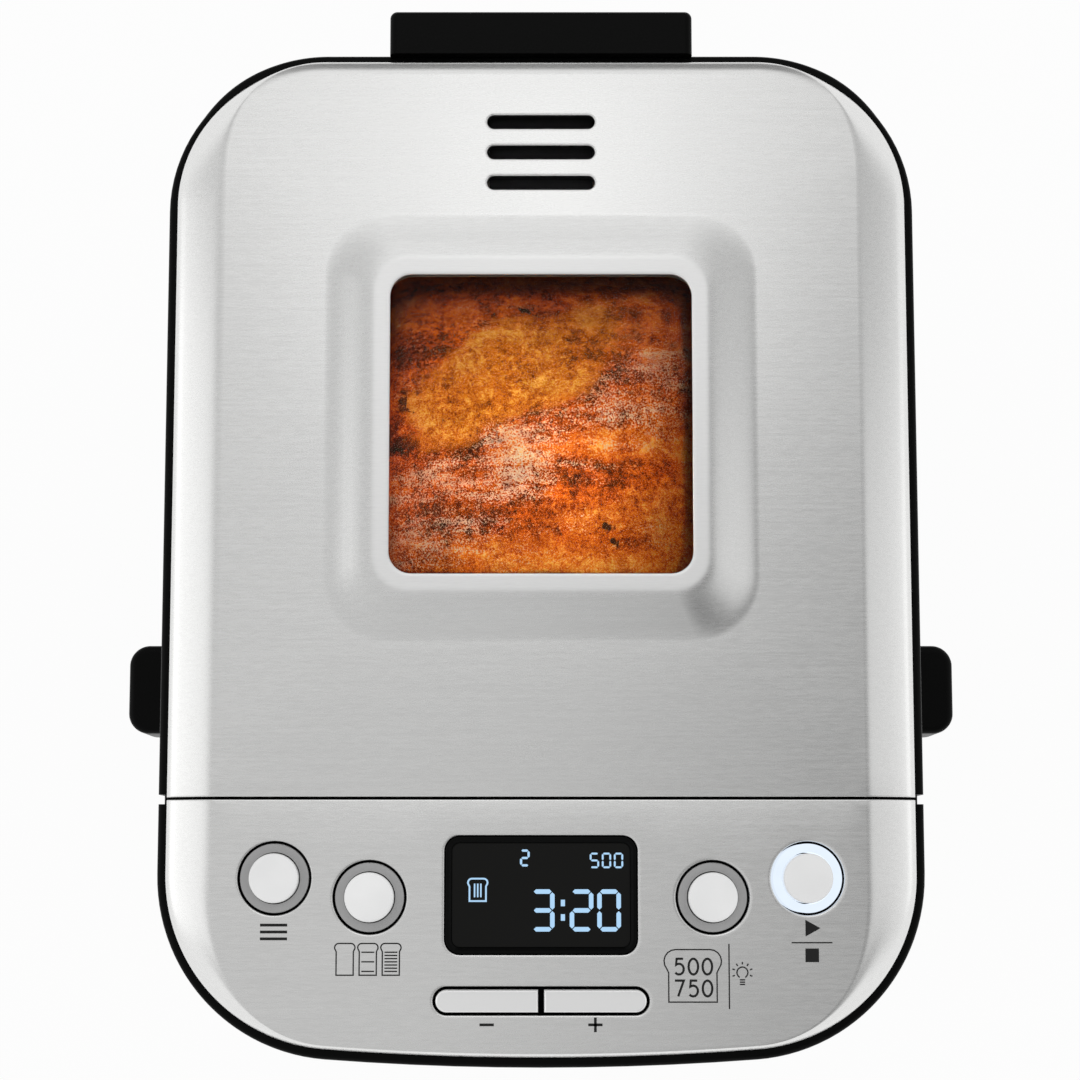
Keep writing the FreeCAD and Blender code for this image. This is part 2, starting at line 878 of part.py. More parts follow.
def make_hinge_screws():
    screws = []
    for x in hinge_screw_spots():
        head = rod(vec(x, hinge_screw_seat - screw_head, hinge_screw_z), screw_head_radius, screw_head,
                   vec(0, 1, 0))
        shank = rod(vec(x, hinge_screw_seat, hinge_screw_z), screw_radius,
                    hinge_screw_end - hinge_screw_seat, vec(0, 1, 0))
        screws.append(fuse([head, shank]))
    return group(screws)


save("lid_skin", make_lid_skin())
save("lid_frame", make_lid_frame())
save("lid_liner", make_lid_liner())
save("lid_seal", make_lid_seal())
save("inner_glass", make_pane(rim_top, inner_glass_top))
save("window_spacer", make_window_spacer())
save("window_glass", make_pane(window_glass_z, window_glass_top))
save("vent_insert", make_vent_insert())
save("hinge_block", make_hinge_block())
save("hinge_screws", make_hinge_screws())


# Control panel: frame, skin, buttons, keys, display, board

button_spots = {
    "program": (-outer_button_x, slit_y - outer_button_from_slit),
    "crust": (-inner_button_x, slit_y - inner_button_from_slit),
    "size": (inner_button_x, slit_y - inner_button_from_slit),
    "start": (outer_button_x, slit_y - outer_button_from_slit),
}
key_y = slit_y - key_from_slit
key_x = key_slot_width / 4
display_y = slit_y - display_from_slit
plate_z = rim_top - panel_plate
lip_top = plate_z - running_gap
stem_z = lip_top - button_lip
board_y = slit_y - board_from_slit - board_depth / 2
board_z = deck_top + board_lift
board_top = board_z + board_thickness
switch_top = board_top + switch_height
plunger_top = stem_z - button_travel - fit_gap
bezel_inner_width = display_width - 2 * bezel_wall
bezel_inner_depth = display_depth - 2 * bezel_wall
bezel_inner_radius = display_radius - bezel_wall
bezel_top = skin_top + bezel_proud
lens_top = bezel_top - lens_recess
lens_z = lens_top - lens_thickness
ledge_z = lens_z - ledge_thickness
board_boss_spots = []
board_boss_inset = board_depth / 2 - 2 * board_boss_radius
for side in (-1, 1):
    board_boss_spots.append((side * (outer_button_x + inner_button_x) / 2, board_y + board_boss_inset))
    board_boss_spots.append((side * (board_width / 2 - board_radius), board_y - board_boss_inset))


def display_block(width, depth, radius, z0, z1):
    return rounded_block(0, display_y, width, depth, radius, z0, z1)


def key_pill(gap, z0, z1):
    return rounded_block(0, key_y, key_slot_width - 2 * gap, key_slot_depth - 2 * gap,
                         key_slot_depth / 2 - gap, z0, z1)


def key_stem_block(x, gap, z0, z1):
    half = key_stem / 2 + gap
    return block(x - half, x + half, key_y - half, key_y + half, z0, z1)


def make_panel_frame():
    frame = in_panel(soft_top(casing_prism(0, deck_top, rim_top), rim_edge_radius), rim_notch)
    hollow = in_panel(casing_prism(panel_wall, deck_top, plate_z), rim_notch + 2 * panel_wall)
    bosses = [upright(x, y, board_boss_radius, board_top, plate_z) for x, y in board_boss_spots]
    frame = fuse([frame.cut(hollow)] + bosses)
    cuts = [display_block(bezel_inner_width, bezel_inner_depth, bezel_inner_radius, plate_z, rim_top)]
    for x, y in button_spots.values():
        cuts.append(upright(x, y, button_stem_radius + fit_gap, plate_z, rim_top))
    for x in (-key_x, key_x):
        cuts.append(key_stem_block(x, fit_gap, plate_z, rim_top))
    return frame.cut(cuts[0].fuse(cuts[1:]))


def make_panel_skin():
    shell = in_panel(outer_form, slit_width).cut(in_panel(inner_form, slit_width + 2 * skin_sheet))
    cuts = [display_block(display_width + 2 * fit_gap, display_depth + 2 * fit_gap, display_radius + fit_gap,
                          rim_top, skin_top)]
    for x, y in button_spots.values():
        cuts.append(upright(x, y, button_hole_radius, rim_top, skin_top))
    cuts.append(key_pill(0, rim_top, skin_top))
    return shell.cut(cuts[0].fuse(cuts[1:]))


def make_button(x, y):
    top = skin_top + button_proud
    head = soft_top(upright(x, y, button_radius, top - button_head, top), button_edge_radius)
    stem = upright(x, y, button_stem_radius, stem_z, top - button_head)
    lip = upright(x, y, button_lip_radius, stem_z, lip_top)
    return fuse([head, stem, lip])


def make_light_ring(x, y):
    band = soft_top(upright(x, y, light_ring_radius, rim_top, skin_top - ring_recess), ring_edge_radius)
    return band.cut(upright(x, y, button_radius + fit_gap, rim_top, skin_top))


def make_key(side):
    top = skin_top + key_proud
    pill = key_pill(key_side_gap, top - key_head, top)
    half = pill.common(block(key_gap / 2, key_slot_width, key_y - key_slot_depth, key_y + key_slot_depth,
                             top - key_head, top))
    half = soft_top(half, key_edge_radius)
    key = fuse([half, key_stem_block(key_x, 0, stem_z, top - key_head)])
    return key if side > 0 else mirrored(key)


def display_wire(grow, z):
    # Inner outline of the bezel, grown outwards
    return rounded_wire(0, display_y, bezel_inner_width + 2 * grow, bezel_inner_depth + 2 * grow,
                        bezel_inner_radius + grow, z)


def make_bezel():
    shell = display_block(display_width, display_depth, display_radius, rim_top, bezel_top)
    shell = soft_top(shell, bezel_edge_radius)
    opening = display_block(bezel_inner_width, bezel_inner_depth, bezel_inner_radius, rim_top, bezel_top)
    flare = loft(display_wire(0, bezel_top - bezel_bevel), display_wire(bezel_bevel, bezel_top))
    ledge = display_block(bezel_inner_width, bezel_inner_depth, bezel_inner_radius, ledge_z, lens_z)
    sight = display_block(bezel_inner_width - 2 * bezel_ledge, bezel_inner_depth - 2 * bezel_ledge,
                          bezel_inner_radius / 2, ledge_z, lens_z)
    return fuse([shell.cut(opening.fuse(flare)), ledge.cut(sight)])


def make_lens():
    return display_block(bezel_inner_width - 2 * press_gap, bezel_inner_depth - 2 * press_gap,
                         bezel_inner_radius - press_gap, lens_z, lens_top)


def make_display_module():
    margin = 2 * display_module_margin
    return display_block(bezel_inner_width - margin, bezel_inner_depth - margin,
                         bezel_inner_radius, board_top, ledge_z - fit_gap)


def make_control_board():
    return rounded_block(0, board_y, board_width, board_depth, board_radius, board_z, board_top)


def make_switches():
    spots = list(button_spots.values()) + [(-key_x, key_y), (key_x, key_y)]
    half = switch_size / 2
    switches = []
    for x, y in spots:
        case = block(x - half, x + half, y - half, y + half, board_top, switch_top)
        switches.append(fuse([case, upright(x, y, plunger_radius, switch_top, plunger_top)]))
    return group(switches)


save("panel_frame", make_panel_frame())
save("panel_skin", make_panel_skin())
idle_rings = []
for name, (x, y) in button_spots.items():
    save(name + "_button", make_button(x, y))
    if name != "start":
        idle_rings.append(make_light_ring(x, y))
save("button_rings", group(idle_rings))
save("start_ring", make_light_ring(*button_spots["start"]))
save("minus_key", make_key(-1))
save("plus_key", make_key(1))
save("display_bezel", make_bezel())
save("display_lens", make_lens())
save("display_module", make_display_module())
save("control_board", make_control_board())
save("key_switches", make_switches())


# Oven: chassis, chamber, shield, heater, probe, lamp, pan seat

heater_z = chamber_floor + heater_lift
heater_half = heater_size / 2
probe_z = chamber_floor + probe_height
lamp_z = deck_top - lamp_drop
bush_z = chassis_z - bush_below
bush_top = chamber_floor + bush_above
chamber_half = chamber_size / 2
wall_half = chamber_outer / 2
shield_y = chamber_front - shield_gap
seat_inner = pan_ring_radius + fit_gap
boss_half = chamber_boss_spacing / 2
tail_y = chamber_front - heater_tail_out


def make_chassis():
    plate = casing_prism(chassis_inset, chassis_z, chassis_top)
    bosses = []
    for side_x in (-1, 1):
        for side_y in (-1, 1):
            bosses.append(upright(side_x * boss_half, chamber_y + side_y * boss_half, chamber_boss_radius,
                                  chassis_z, chamber_z))
    cuts = [upright(x, y, screw_radius + fit_gap, chassis_z, chassis_top) for x, y in post_spots]
    cuts.append(upright(0, chamber_y, bush_radius + press_gap, chassis_z, chassis_top))
    cuts.append(upright(motor_x, motor_y, 2 * shaft_radius, chassis_z, chassis_top))
    return fuse([plate] + bosses).cut(cuts[0].fuse(cuts[1:]))


def make_chamber():
    box = rounded_block(0, chamber_y, chamber_outer, chamber_outer, chamber_radius + chamber_sheet,
                        chamber_z, deck_top)
    lip = rounded_block(0, chamber_y, flange_size, flange_size, flange_radius,
                        deck_top - chamber_sheet, deck_top)
    hollow = rounded_block(0, chamber_y, chamber_size, chamber_size, chamber_radius, chamber_floor, deck_top)
    cuts = [upright(0, chamber_y, bush_radius + fit_gap, chamber_z, chamber_floor)]
    for side in (-1, 1):
        cuts.append(rod(vec(side * heater_tail_x, chamber_front, heater_z), heater_radius + fit_gap,
                        2 * chamber_sheet, vec(0, 1, 0)))
    across = vec(1, 0, 0)
    cuts.append(rod(vec(chamber_half, chamber_y, probe_z), probe_radius + fit_gap, chamber_sheet, across))
    cuts.append(rod(vec(-wall_half, chamber_y, lamp_z), lamp_lens_radius + fit_gap, chamber_sheet, across))
    return fuse([box, lip]).cut(hollow).cut(cuts[0].fuse(cuts[1:]))


def make_heat_shield():
    half = shield_width / 2
    sheet = block(-half, half, shield_y - shield_sheet, shield_y, chassis_top, chassis_top + shield_height)
    foot = block(-half, half, shield_y - shield_foot, shield_y, chassis_top, chassis_top + shield_sheet)
    return fuse([sheet, foot])


def make_heater():
    front = chamber_y - heater_half
    back = chamber_y + heater_half
    route = [(-heater_tail_x, tail_y), (-heater_tail_x, front), (-heater_half, front), (-heater_half, back),
             (heater_half, back), (heater_half, front), (heater_tail_x, front), (heater_tail_x, tail_y)]
    bends = [heater_tail_bend, heater_bend, heater_bend, heater_bend, heater_bend, heater_tail_bend]
    return swept_tube([vec(x, y, heater_z) for x, y in route], bends, heater_radius)


def make_heater_clips():
    half = clip_size / 2
    clips = []
    for x, y, axis in [(-heater_half, chamber_y, vec(0, 1, 0)), (heater_half, chamber_y, vec(0, 1, 0)),
                       (0, chamber_y + heater_half, vec(1, 0, 0))]:
        post = block(x - half, x + half, y - half, y + half, chamber_floor, heater_z + clip_above)
        start = vec(x, y, heater_z) - axis * clip_size
        clips.append(post.cut(rod(start, heater_radius + press_gap, 2 * clip_size, axis)))
    return group(clips)


def make_probe():
    stem = rod(vec(chamber_half - probe_reach, chamber_y, probe_z), probe_radius,
               probe_reach + chamber_sheet + probe_tail, vec(1, 0, 0))
    collar = rod(vec(wall_half, chamber_y, probe_z), probe_collar_radius, probe_collar, vec(1, 0, 0))
    return fuse([stem, collar])


def make_lamp():
    house = rod(vec(-wall_half, chamber_y, lamp_z), lamp_radius, lamp_depth, vec(-1, 0, 0))
    lens = rod(vec(-wall_half, chamber_y, lamp_z), lamp_lens_radius, chamber_sheet + lamp_reach, vec(1, 0, 0))
    return fuse([house, lens])


def make_pan_seat():
    wall = ring(0, chamber_y, seat_inner, seat_inner + seat_wall, chamber_floor, chamber_floor + seat_height)
    floor = ring(0, chamber_y, pan_ring_radius - seat_lap, seat_inner + seat_wall, chamber_floor,
                 chamber_floor + seat_floor)
    return fuse([wall, floor])


def make_power_board():
    y = slit_y - power_board_from_slit
    z = chassis_top + power_board_lift
    top = z + board_thickness
    half_x = power_board_width / 2
    half_y = power_board_depth / 2
    pieces = [block(power_board_x - half_x, power_board_x + half_x, y - half_y, y + half_y, z, top)]
    leg = board_boss_radius
    for side_x in (-1, 1):
        for side_y in (-1, 1):
            pieces.append(upright(power_board_x + side_x * (half_x - leg), y + side_y * (half_y - leg), leg,
                                  chassis_top, z))
    quarter_x = half_x / 2
    quarter_y = half_y / 2
    pieces.append(block(power_board_x - half_x + leg, power_board_x - quarter_x / 4,
                        y - quarter_y, y + quarter_y, top, top + transformer_height))
    pieces.append(upright(power_board_x + quarter_x, y + quarter_y, quarter_y / 2,
                          top, top + capacitor_height))
    pieces.append(block(power_board_x + quarter_x / 4, power_board_x + half_x - leg, y - half_y + leg,
                        y - quarter_y / 2, top, top + relay_height))
    return fuse(pieces)


save("chassis_plate", make_chassis())
save("baking_chamber", make_chamber())
save("heat_shield", make_heat_shield())
save("heater_element", make_heater())
save("heater_clips", make_heater_clips())
save("temperature_probe", make_probe())
save("chamber_lamp", make_lamp())
save("pan_seat", make_pan_seat())
save("power_board", make_power_board())


# Drive: bush, shaft, coupling, pulleys, belt, motor

pulley_width = belt_width + 2 * belt_side_gap + 2 * pulley_flange
pulley_top = bush_z - pulley_gap
pulley_z = pulley_top - pulley_width
belt_z = pulley_z + pulley_flange + belt_side_gap
shaft_z = pulley_z - shaft_tail
coupling_z = bush_top + coupling_gap
coupling_top = coupling_z + coupling_disc
motor_z = chassis_top + motor_stand
motor_top = motor_z + motor_height
pan_coupling_z = coupling_top + dog_height + dog_gap
bell_height = motor_height / 8


def make_shaft_bush():
    body = upright(0, chamber_y, bush_radius, bush_z, bush_top)
    collar = upright(0, chamber_y, bush_flange_radius, chassis_top, chassis_top + bush_flange)
    bore = upright(0, chamber_y, shaft_radius + running_gap, bush_z, bush_top)
    return fuse([body, collar]).cut(bore)


def dogs(z0, z1, along_x):
    # Pair of driving dogs, clipped to the coupling's radius
    reach = coupling_radius
    half = dog_width / 2
    pieces = []
    for side in (-1, 1):
        near = side * dog_inner_radius
        far = side * reach
        low, high = min(near, far), max(near, far)
        if along_x:
            dog = block(low, high, chamber_y - half, chamber_y + half, z0, z1)
        else:
            dog = block(-half, half, chamber_y + low, chamber_y + high, z0, z1)
        pieces.append(dog.common(upright(0, chamber_y, reach, z0, z1)))
    return pieces


def make_drive_coupling():
    disc = upright(0, chamber_y, coupling_radius, coupling_z, coupling_top)
    bore = upright(0, chamber_y, shaft_radius + press_gap, coupling_z, coupling_top)
    return fuse([disc.cut(bore)] + dogs(coupling_top, coupling_top + dog_height, True))


def pulley(x, y, radius, pieces):
    flanged = radius + pulley_flange_rise
    parts = pieces + [upright(x, y, flanged, pulley_z, pulley_z + pulley_flange),
                      upright(x, y, flanged, pulley_top - pulley_flange, pulley_top)]
    return parts


def make_drive_pulley():
    inner = drive_pulley_radius - pulley_rim
    middle = (pulley_z + pulley_top) / 2
    wheel = upright(0, chamber_y, drive_pulley_radius, pulley_z, pulley_top)
    wheel = fuse(pulley(0, chamber_y, drive_pulley_radius, [wheel]))
    hollow = ring(0, chamber_y, pulley_hub_radius, inner, pulley_z, middle - pulley_web / 2)
    upper = ring(0, chamber_y, pulley_hub_radius, inner, middle + pulley_web / 2, pulley_top)
    bore = upright(0, chamber_y, shaft_radius + press_gap, pulley_z, pulley_top)
    return wheel.cut(hollow.fuse([upper, bore]))


def make_motor_pulley():
    wheel = upright(motor_x, motor_y, motor_pulley_radius, pulley_z, pulley_top)
    wheel = fuse(pulley(motor_x, motor_y, motor_pulley_radius, [wheel]))
    return wheel.cut(upright(motor_x, motor_y, shaft_radius + press_gap, pulley_z, pulley_top))


def belt_loop(extra):
    # Closed loop round both pulleys: two arcs joined by their outer tangents
    large = drive_pulley_radius + extra
    small = motor_pulley_radius + extra
    span_x = motor_x
    span_y = motor_y - chamber_y
    heading = math.atan2(span_y, span_x)
    lean = math.acos((large - small) / math.hypot(span_x, span_y))
    big = vec(0, chamber_y, belt_z)
    little = vec(motor_x, motor_y, belt_z)
    big_arc = arc_about(big, large, heading + lean, heading + 2 * math.pi - lean)
    little_arc = arc_about(little, small, heading - lean, heading + lean)
    big_ends = [vertex.Point for vertex in big_arc.Vertexes]
    little_ends = [vertex.Point for vertex in little_arc.Vertexes]
    return Part.Wire([big_arc, line(big_ends[1], little_ends[0]), little_arc,
                      line(little_ends[1], big_ends[0])])


def make_belt():
    outer = prism(belt_loop(fit_gap + belt_thickness), belt_width)
    return outer.cut(prism(belt_loop(fit_gap), belt_width))


def make_motor():
    can = upright(motor_x, motor_y, motor_radius, motor_z + bell_height, motor_top - bell_height)
    bells = upright(motor_x, motor_y, motor_radius - motor_bell_step, motor_z, motor_top)
    pieces = [can, bells]
    for index in range(4):
        angle = (index + 0.5) * math.pi / 2
        pieces.append(upright(motor_x + motor_leg_circle * math.cos(angle),
                              motor_y + motor_leg_circle * math.sin(angle),
                              motor_leg_radius, chassis_top, motor_z + bell_height))
    return fuse(pieces).cut(upright(motor_x, motor_y, shaft_radius + running_gap, chassis_top, motor_top))


save("shaft_bush", make_shaft_bush())
save("drive_shaft", upright(0, chamber_y, shaft_radius, shaft_z, coupling_top))
save("drive_coupling", make_drive_coupling())
save("drive_pulley", make_drive_pulley())
save("motor_pulley", make_motor_pulley())
save("motor_shaft", upright(motor_x, motor_y, shaft_radius, shaft_z, motor_top + shaft_tail))
save("drive_belt", make_belt())
save("motor", make_motor())


# Pan: pan, ears, bail, bush, shaft and paddle

ear_x = pan_top_size / 2 + pan_wall + fit_gap
ear_top = pan_top - pan_bead - fit_gap
bail_x = ear_x + ear_sheet + bail_side_gap + bail_radius
bail_y = chamber_y + bail_reach
bush_collar_top = pan_inside + pan_bush_flange
paddle_z = bush_collar_top + paddle_floor_gap
paddle_hub_top = paddle_z + paddle_hub_height


def make_pan():
    outer = loft(rounded_wire(0, chamber_y, pan_bottom_size + 2 * pan_wall, pan_bottom_size + 2 * pan_wall,
                              pan_radius + pan_wall, pan_z),
                 rounded_wire(0, chamber_y, pan_top_size + 2 * pan_wall, pan_top_size + 2 * pan_wall,
                              pan_radius + pan_wall, pan_top))
    inner = loft(rounded_wire(0, chamber_y, pan_bottom_size, pan_bottom_size, pan_radius, pan_inside),
                 rounded_wire(0, chamber_y, pan_top_size, pan_top_size, pan_radius, pan_top))
    bead_size = pan_top_size + 2 * pan_wall + 2 * pan_bead
    bead = rounded_block(0, chamber_y, bead_size, bead_size, pan_radius + pan_wall + pan_bead,
                         pan_top - pan_bead, pan_top)
    skirt = ring(0, chamber_y, pan_ring_radius - pan_ring_wall, pan_ring_radius,
                 chamber_floor + seat_floor + fit_gap, pan_inside)
    hole = upright(0, chamber_y, pan_bush_radius + press_gap, pan_z, pan_inside)
    return fuse([outer, bead, skirt]).cut(inner).cut(hole)


def make_pan_ears():
    half = ear_width / 2
    ear = block(ear_x, ear_x + ear_sheet, chamber_y - half, chamber_y + half, ear_top - ear_height, ear_top)
    ear = ear.cut(rod(vec(ear_x, chamber_y, bail_z), bail_radius + running_gap, ear_sheet, vec(1, 0, 0)))
    return group([ear, mirrored(ear)])


def make_bail():
    stub = ear_x + press_gap
    route = [(stub, chamber_y), (bail_x, chamber_y), (bail_x, bail_y),
             (-bail_x, bail_y), (-bail_x, chamber_y), (-stub, chamber_y)]
    bends = [bail_bend, bail_corner, bail_corner, bail_bend]
    return swept_tube([vec(x, y, bail_z) for x, y in route], bends, bail_radius)


def make_pan_bush():
    body = upright(0, chamber_y, pan_bush_radius, pan_z - pan_bush_below, bush_collar_top)
    collar = upright(0, chamber_y, pan_bush_flange_radius, pan_inside, bush_collar_top)
    bore = upright(0, chamber_y, shaft_radius + running_gap, pan_z - pan_bush_below, bush_collar_top)
    return fuse([body, collar]).cut(bore)


def make_pan_shaft():
    shaft = upright(0, chamber_y, shaft_radius, pan_coupling_z, paddle_hub_top)
    disc = upright(0, chamber_y, coupling_radius, pan_coupling_z, pan_coupling_z + coupling_disc)
    return fuse([shaft, disc] + dogs(coupling_top + dog_gap, pan_coupling_z, False))


def make_paddle():
    hub = ring(0, chamber_y, shaft_radius + press_gap, paddle_hub_radius, paddle_z, paddle_hub_top)
    near = (shaft_radius + paddle_hub_radius) / 2
    half = paddle_thickness / 2
    side = chamber_y - half
    blade = polygon_plate([vec(near, side, paddle_z), vec(paddle_length, side, paddle_z),
                           vec(paddle_length, side, paddle_z + paddle_tip_height),
                           vec(near, side, paddle_z + paddle_height)], vec(0, paddle_thickness, 0))
    return fuse([hub, blade])


def loaf_wire(half, z):
    return rounded_wire(0, chamber_y, 2 * half, 2 * half, loaf_radius * half / loaf_wall_half, z)


def pan_half(z):
    # Half the inner width of the pan at height z
    return pan_bottom_size / 2 + pan_draft * (z - pan_inside) / (pan_top - pan_inside)


loaf_under = paddle_z + paddle_height + loaf_paddle_gap
loaf_wall_z = pan_top - loaf_wall_drop
loaf_wall_half = pan_half(loaf_wall_z) - loaf_gap


def make_loaf():
    # Drafted block on the pan wall, then rings that close to a crown
    foot_z = loaf_under + loaf_foot_rise
    rings = [loaf_wire(pan_half(loaf_under) - loaf_foot_inset, loaf_under),
             loaf_wire(pan_half(foot_z) - loaf_gap, foot_z)]
    for step in loaf_steps:
        share = 1 - step
        dome = (1 - share ** loaf_crown_inner_power) ** loaf_crown_outer_power
        rings.append(loaf_wire(loaf_wall_half * share, loaf_wall_z + loaf_crown * dome))
    return Part.makeLoft(rings, True, True)


save("bread_pan", make_pan())
save("loaf", make_loaf())
save("pan_ears", make_pan_ears())
save("bail_handle", make_bail())
save("pan_bush", make_pan_bush())
save("pan_shaft", make_pan_shaft())
save("kneading_paddle", make_paddle())
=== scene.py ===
# Compact bread machine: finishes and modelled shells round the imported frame, in metres
import json
import math
import bpy
import numpy as np
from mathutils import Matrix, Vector, geometry

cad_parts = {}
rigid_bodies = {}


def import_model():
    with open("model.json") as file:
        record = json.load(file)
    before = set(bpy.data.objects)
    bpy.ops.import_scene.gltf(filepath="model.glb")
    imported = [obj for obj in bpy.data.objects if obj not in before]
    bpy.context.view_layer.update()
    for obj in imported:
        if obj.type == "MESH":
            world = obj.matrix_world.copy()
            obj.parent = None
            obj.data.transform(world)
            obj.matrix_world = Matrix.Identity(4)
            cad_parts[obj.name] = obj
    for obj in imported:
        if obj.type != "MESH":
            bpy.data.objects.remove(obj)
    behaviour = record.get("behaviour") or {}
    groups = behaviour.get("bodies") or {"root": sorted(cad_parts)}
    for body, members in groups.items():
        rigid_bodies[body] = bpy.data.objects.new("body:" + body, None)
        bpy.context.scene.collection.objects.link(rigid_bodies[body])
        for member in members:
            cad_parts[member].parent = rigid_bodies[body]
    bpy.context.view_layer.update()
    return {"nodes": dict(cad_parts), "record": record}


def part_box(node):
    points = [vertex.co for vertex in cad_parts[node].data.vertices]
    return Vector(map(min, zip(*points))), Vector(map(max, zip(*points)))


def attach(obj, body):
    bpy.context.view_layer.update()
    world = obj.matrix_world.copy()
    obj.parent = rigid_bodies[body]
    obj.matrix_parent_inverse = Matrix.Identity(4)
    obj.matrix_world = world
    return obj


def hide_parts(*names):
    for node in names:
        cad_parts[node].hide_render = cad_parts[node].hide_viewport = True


for leftover in list(bpy.data.objects):
    bpy.data.objects.remove(leftover)
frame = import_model()
nodes = frame["nodes"]
mm = 0.001
micron = 0.000001
hair = 1e-7  # nearer points count as one
print("frame loaded:", len(nodes), "nodes")

# Levels and edges that several pieces share, read from the frame
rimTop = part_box("lid_frame")[1].z
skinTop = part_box("panel_skin")[1].z
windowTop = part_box("lid_skin")[1].z
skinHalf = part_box("lid_skin")[1].x
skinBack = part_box("lid_skin")[1].y
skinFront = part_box("panel_skin")[0].y
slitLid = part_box("lid_skin")[0].y
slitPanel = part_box("panel_skin")[1].y


def nodeMiddle(name):
    low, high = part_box(name)
    return (low + high) / 2


def placed(name, data):  # a new object in the scene
    thing = bpy.data.objects.new(name, data)
    bpy.context.scene.collection.objects.link(thing)
    return thing


# Shader maths: a Wire is one socket, and sums of wires add Math nodes
class Wire:
    def __init__(self, finish, socket):
        self.finish = finish
        self.socket = socket

    def maths(self, operation, *others):
        values = dict(enumerate((self,) + others))
        return self.finish.node("ShaderNodeMath", values, {"operation": operation})

    def __add__(self, other):
        return self.maths("ADD", other)

    def __sub__(self, other):
        return self.maths("SUBTRACT", other)

    def __rsub__(self, other):
        return self.maths("MULTIPLY", -1.0) + other

    def __mul__(self, other):
        return self.maths("MULTIPLY", other)

    def __pow__(self, other):
        return self.maths("POWER", other)

    def rise(self, low, high):  # 0 below low, 1 above high, smooth between
        return self.finish.node("ShaderNodeMapRange", {"Value": self, "From Min": low, "From Max": high},
                                {"interpolation_type": "SMOOTHSTEP"})


# A finish is a material or a world, built up node by node
class Finish:
    def __init__(self, name, world=False):
        self.material = bpy.data.worlds.new(name) if world else bpy.data.materials.new(name)
        self.material.use_nodes = True
        self.tree = self.material.node_tree
        self.tree.nodes.clear()
        self.out = self.tree.nodes.new("ShaderNodeOutputWorld" if world else "ShaderNodeOutputMaterial")

    def node(self, kind, values=None, settings=None, output=0):
        made = self.tree.nodes.new(kind)
        for name, value in (settings or {}).items():
            if name == "stops":
                for index, (place, colour) in enumerate(value):
                    stops = made.color_ramp.elements
                    stop = stops[index] if index < len(stops) else stops.new(place)
                    stop.position = place
                    stop.color = colour + (1.0,)
            else:
                setattr(made, name, value)
        for name, value in (values or {}).items():
            if isinstance(value, Wire):
                self.tree.links.new(value.socket, made.inputs[name])
            else:
                made.inputs[name].default_value = value
        return Wire(self, made.outputs[output])

    def place(self, stretch=(1, 1, 1), turn=(0, 0, 0), centre=(0, 0, 0)):
        spot = self.node("ShaderNodeTexCoord", output="Object")
        return self.node("ShaderNodeMapping", {"Vector": spot, "Scale": stretch, "Rotation": turn,
                                               "Location": centre})

    def parts(self, vector, axes):
        return [self.node("ShaderNodeSeparateXYZ", {"Vector": vector}, output=axis) for axis in axes]

    def noise(self, where, scale, detail=2.0, rough=0.5, twist=0.0, output=0):
        return self.node("ShaderNodeTexNoise", {"Vector": where, "Scale": scale, "Detail": detail,
                                                "Roughness": rough, "Distortion": twist}, output=output)

    def mix(self, factor, low, high, kind="MIX"):
        return self.node("ShaderNodeMix", {0: factor, 6: low, 7: high},
                         {"data_type": "RGBA", "blend_type": kind}, 2)

    def bump(self, height, depth):
        return self.node("ShaderNodeBump", {"Height": height, "Distance": depth})

    def surface(self, **sockets):
        values = {name.replace("_", " "): value for name, value in sockets.items()}
        self.show(self.node("ShaderNodeBsdfPrincipled", values))

    def blend(self, share, low, high):
        self.show(self.node("ShaderNodeMixShader", {0: share, 1: low, 2: high}))

    def show(self, shade):
        self.tree.links.new(shade.socket, self.out.inputs["Surface"])


def tint(colour, gain):
    return tuple(min(1.0, part * gain) for part in colour) + (1.0,)


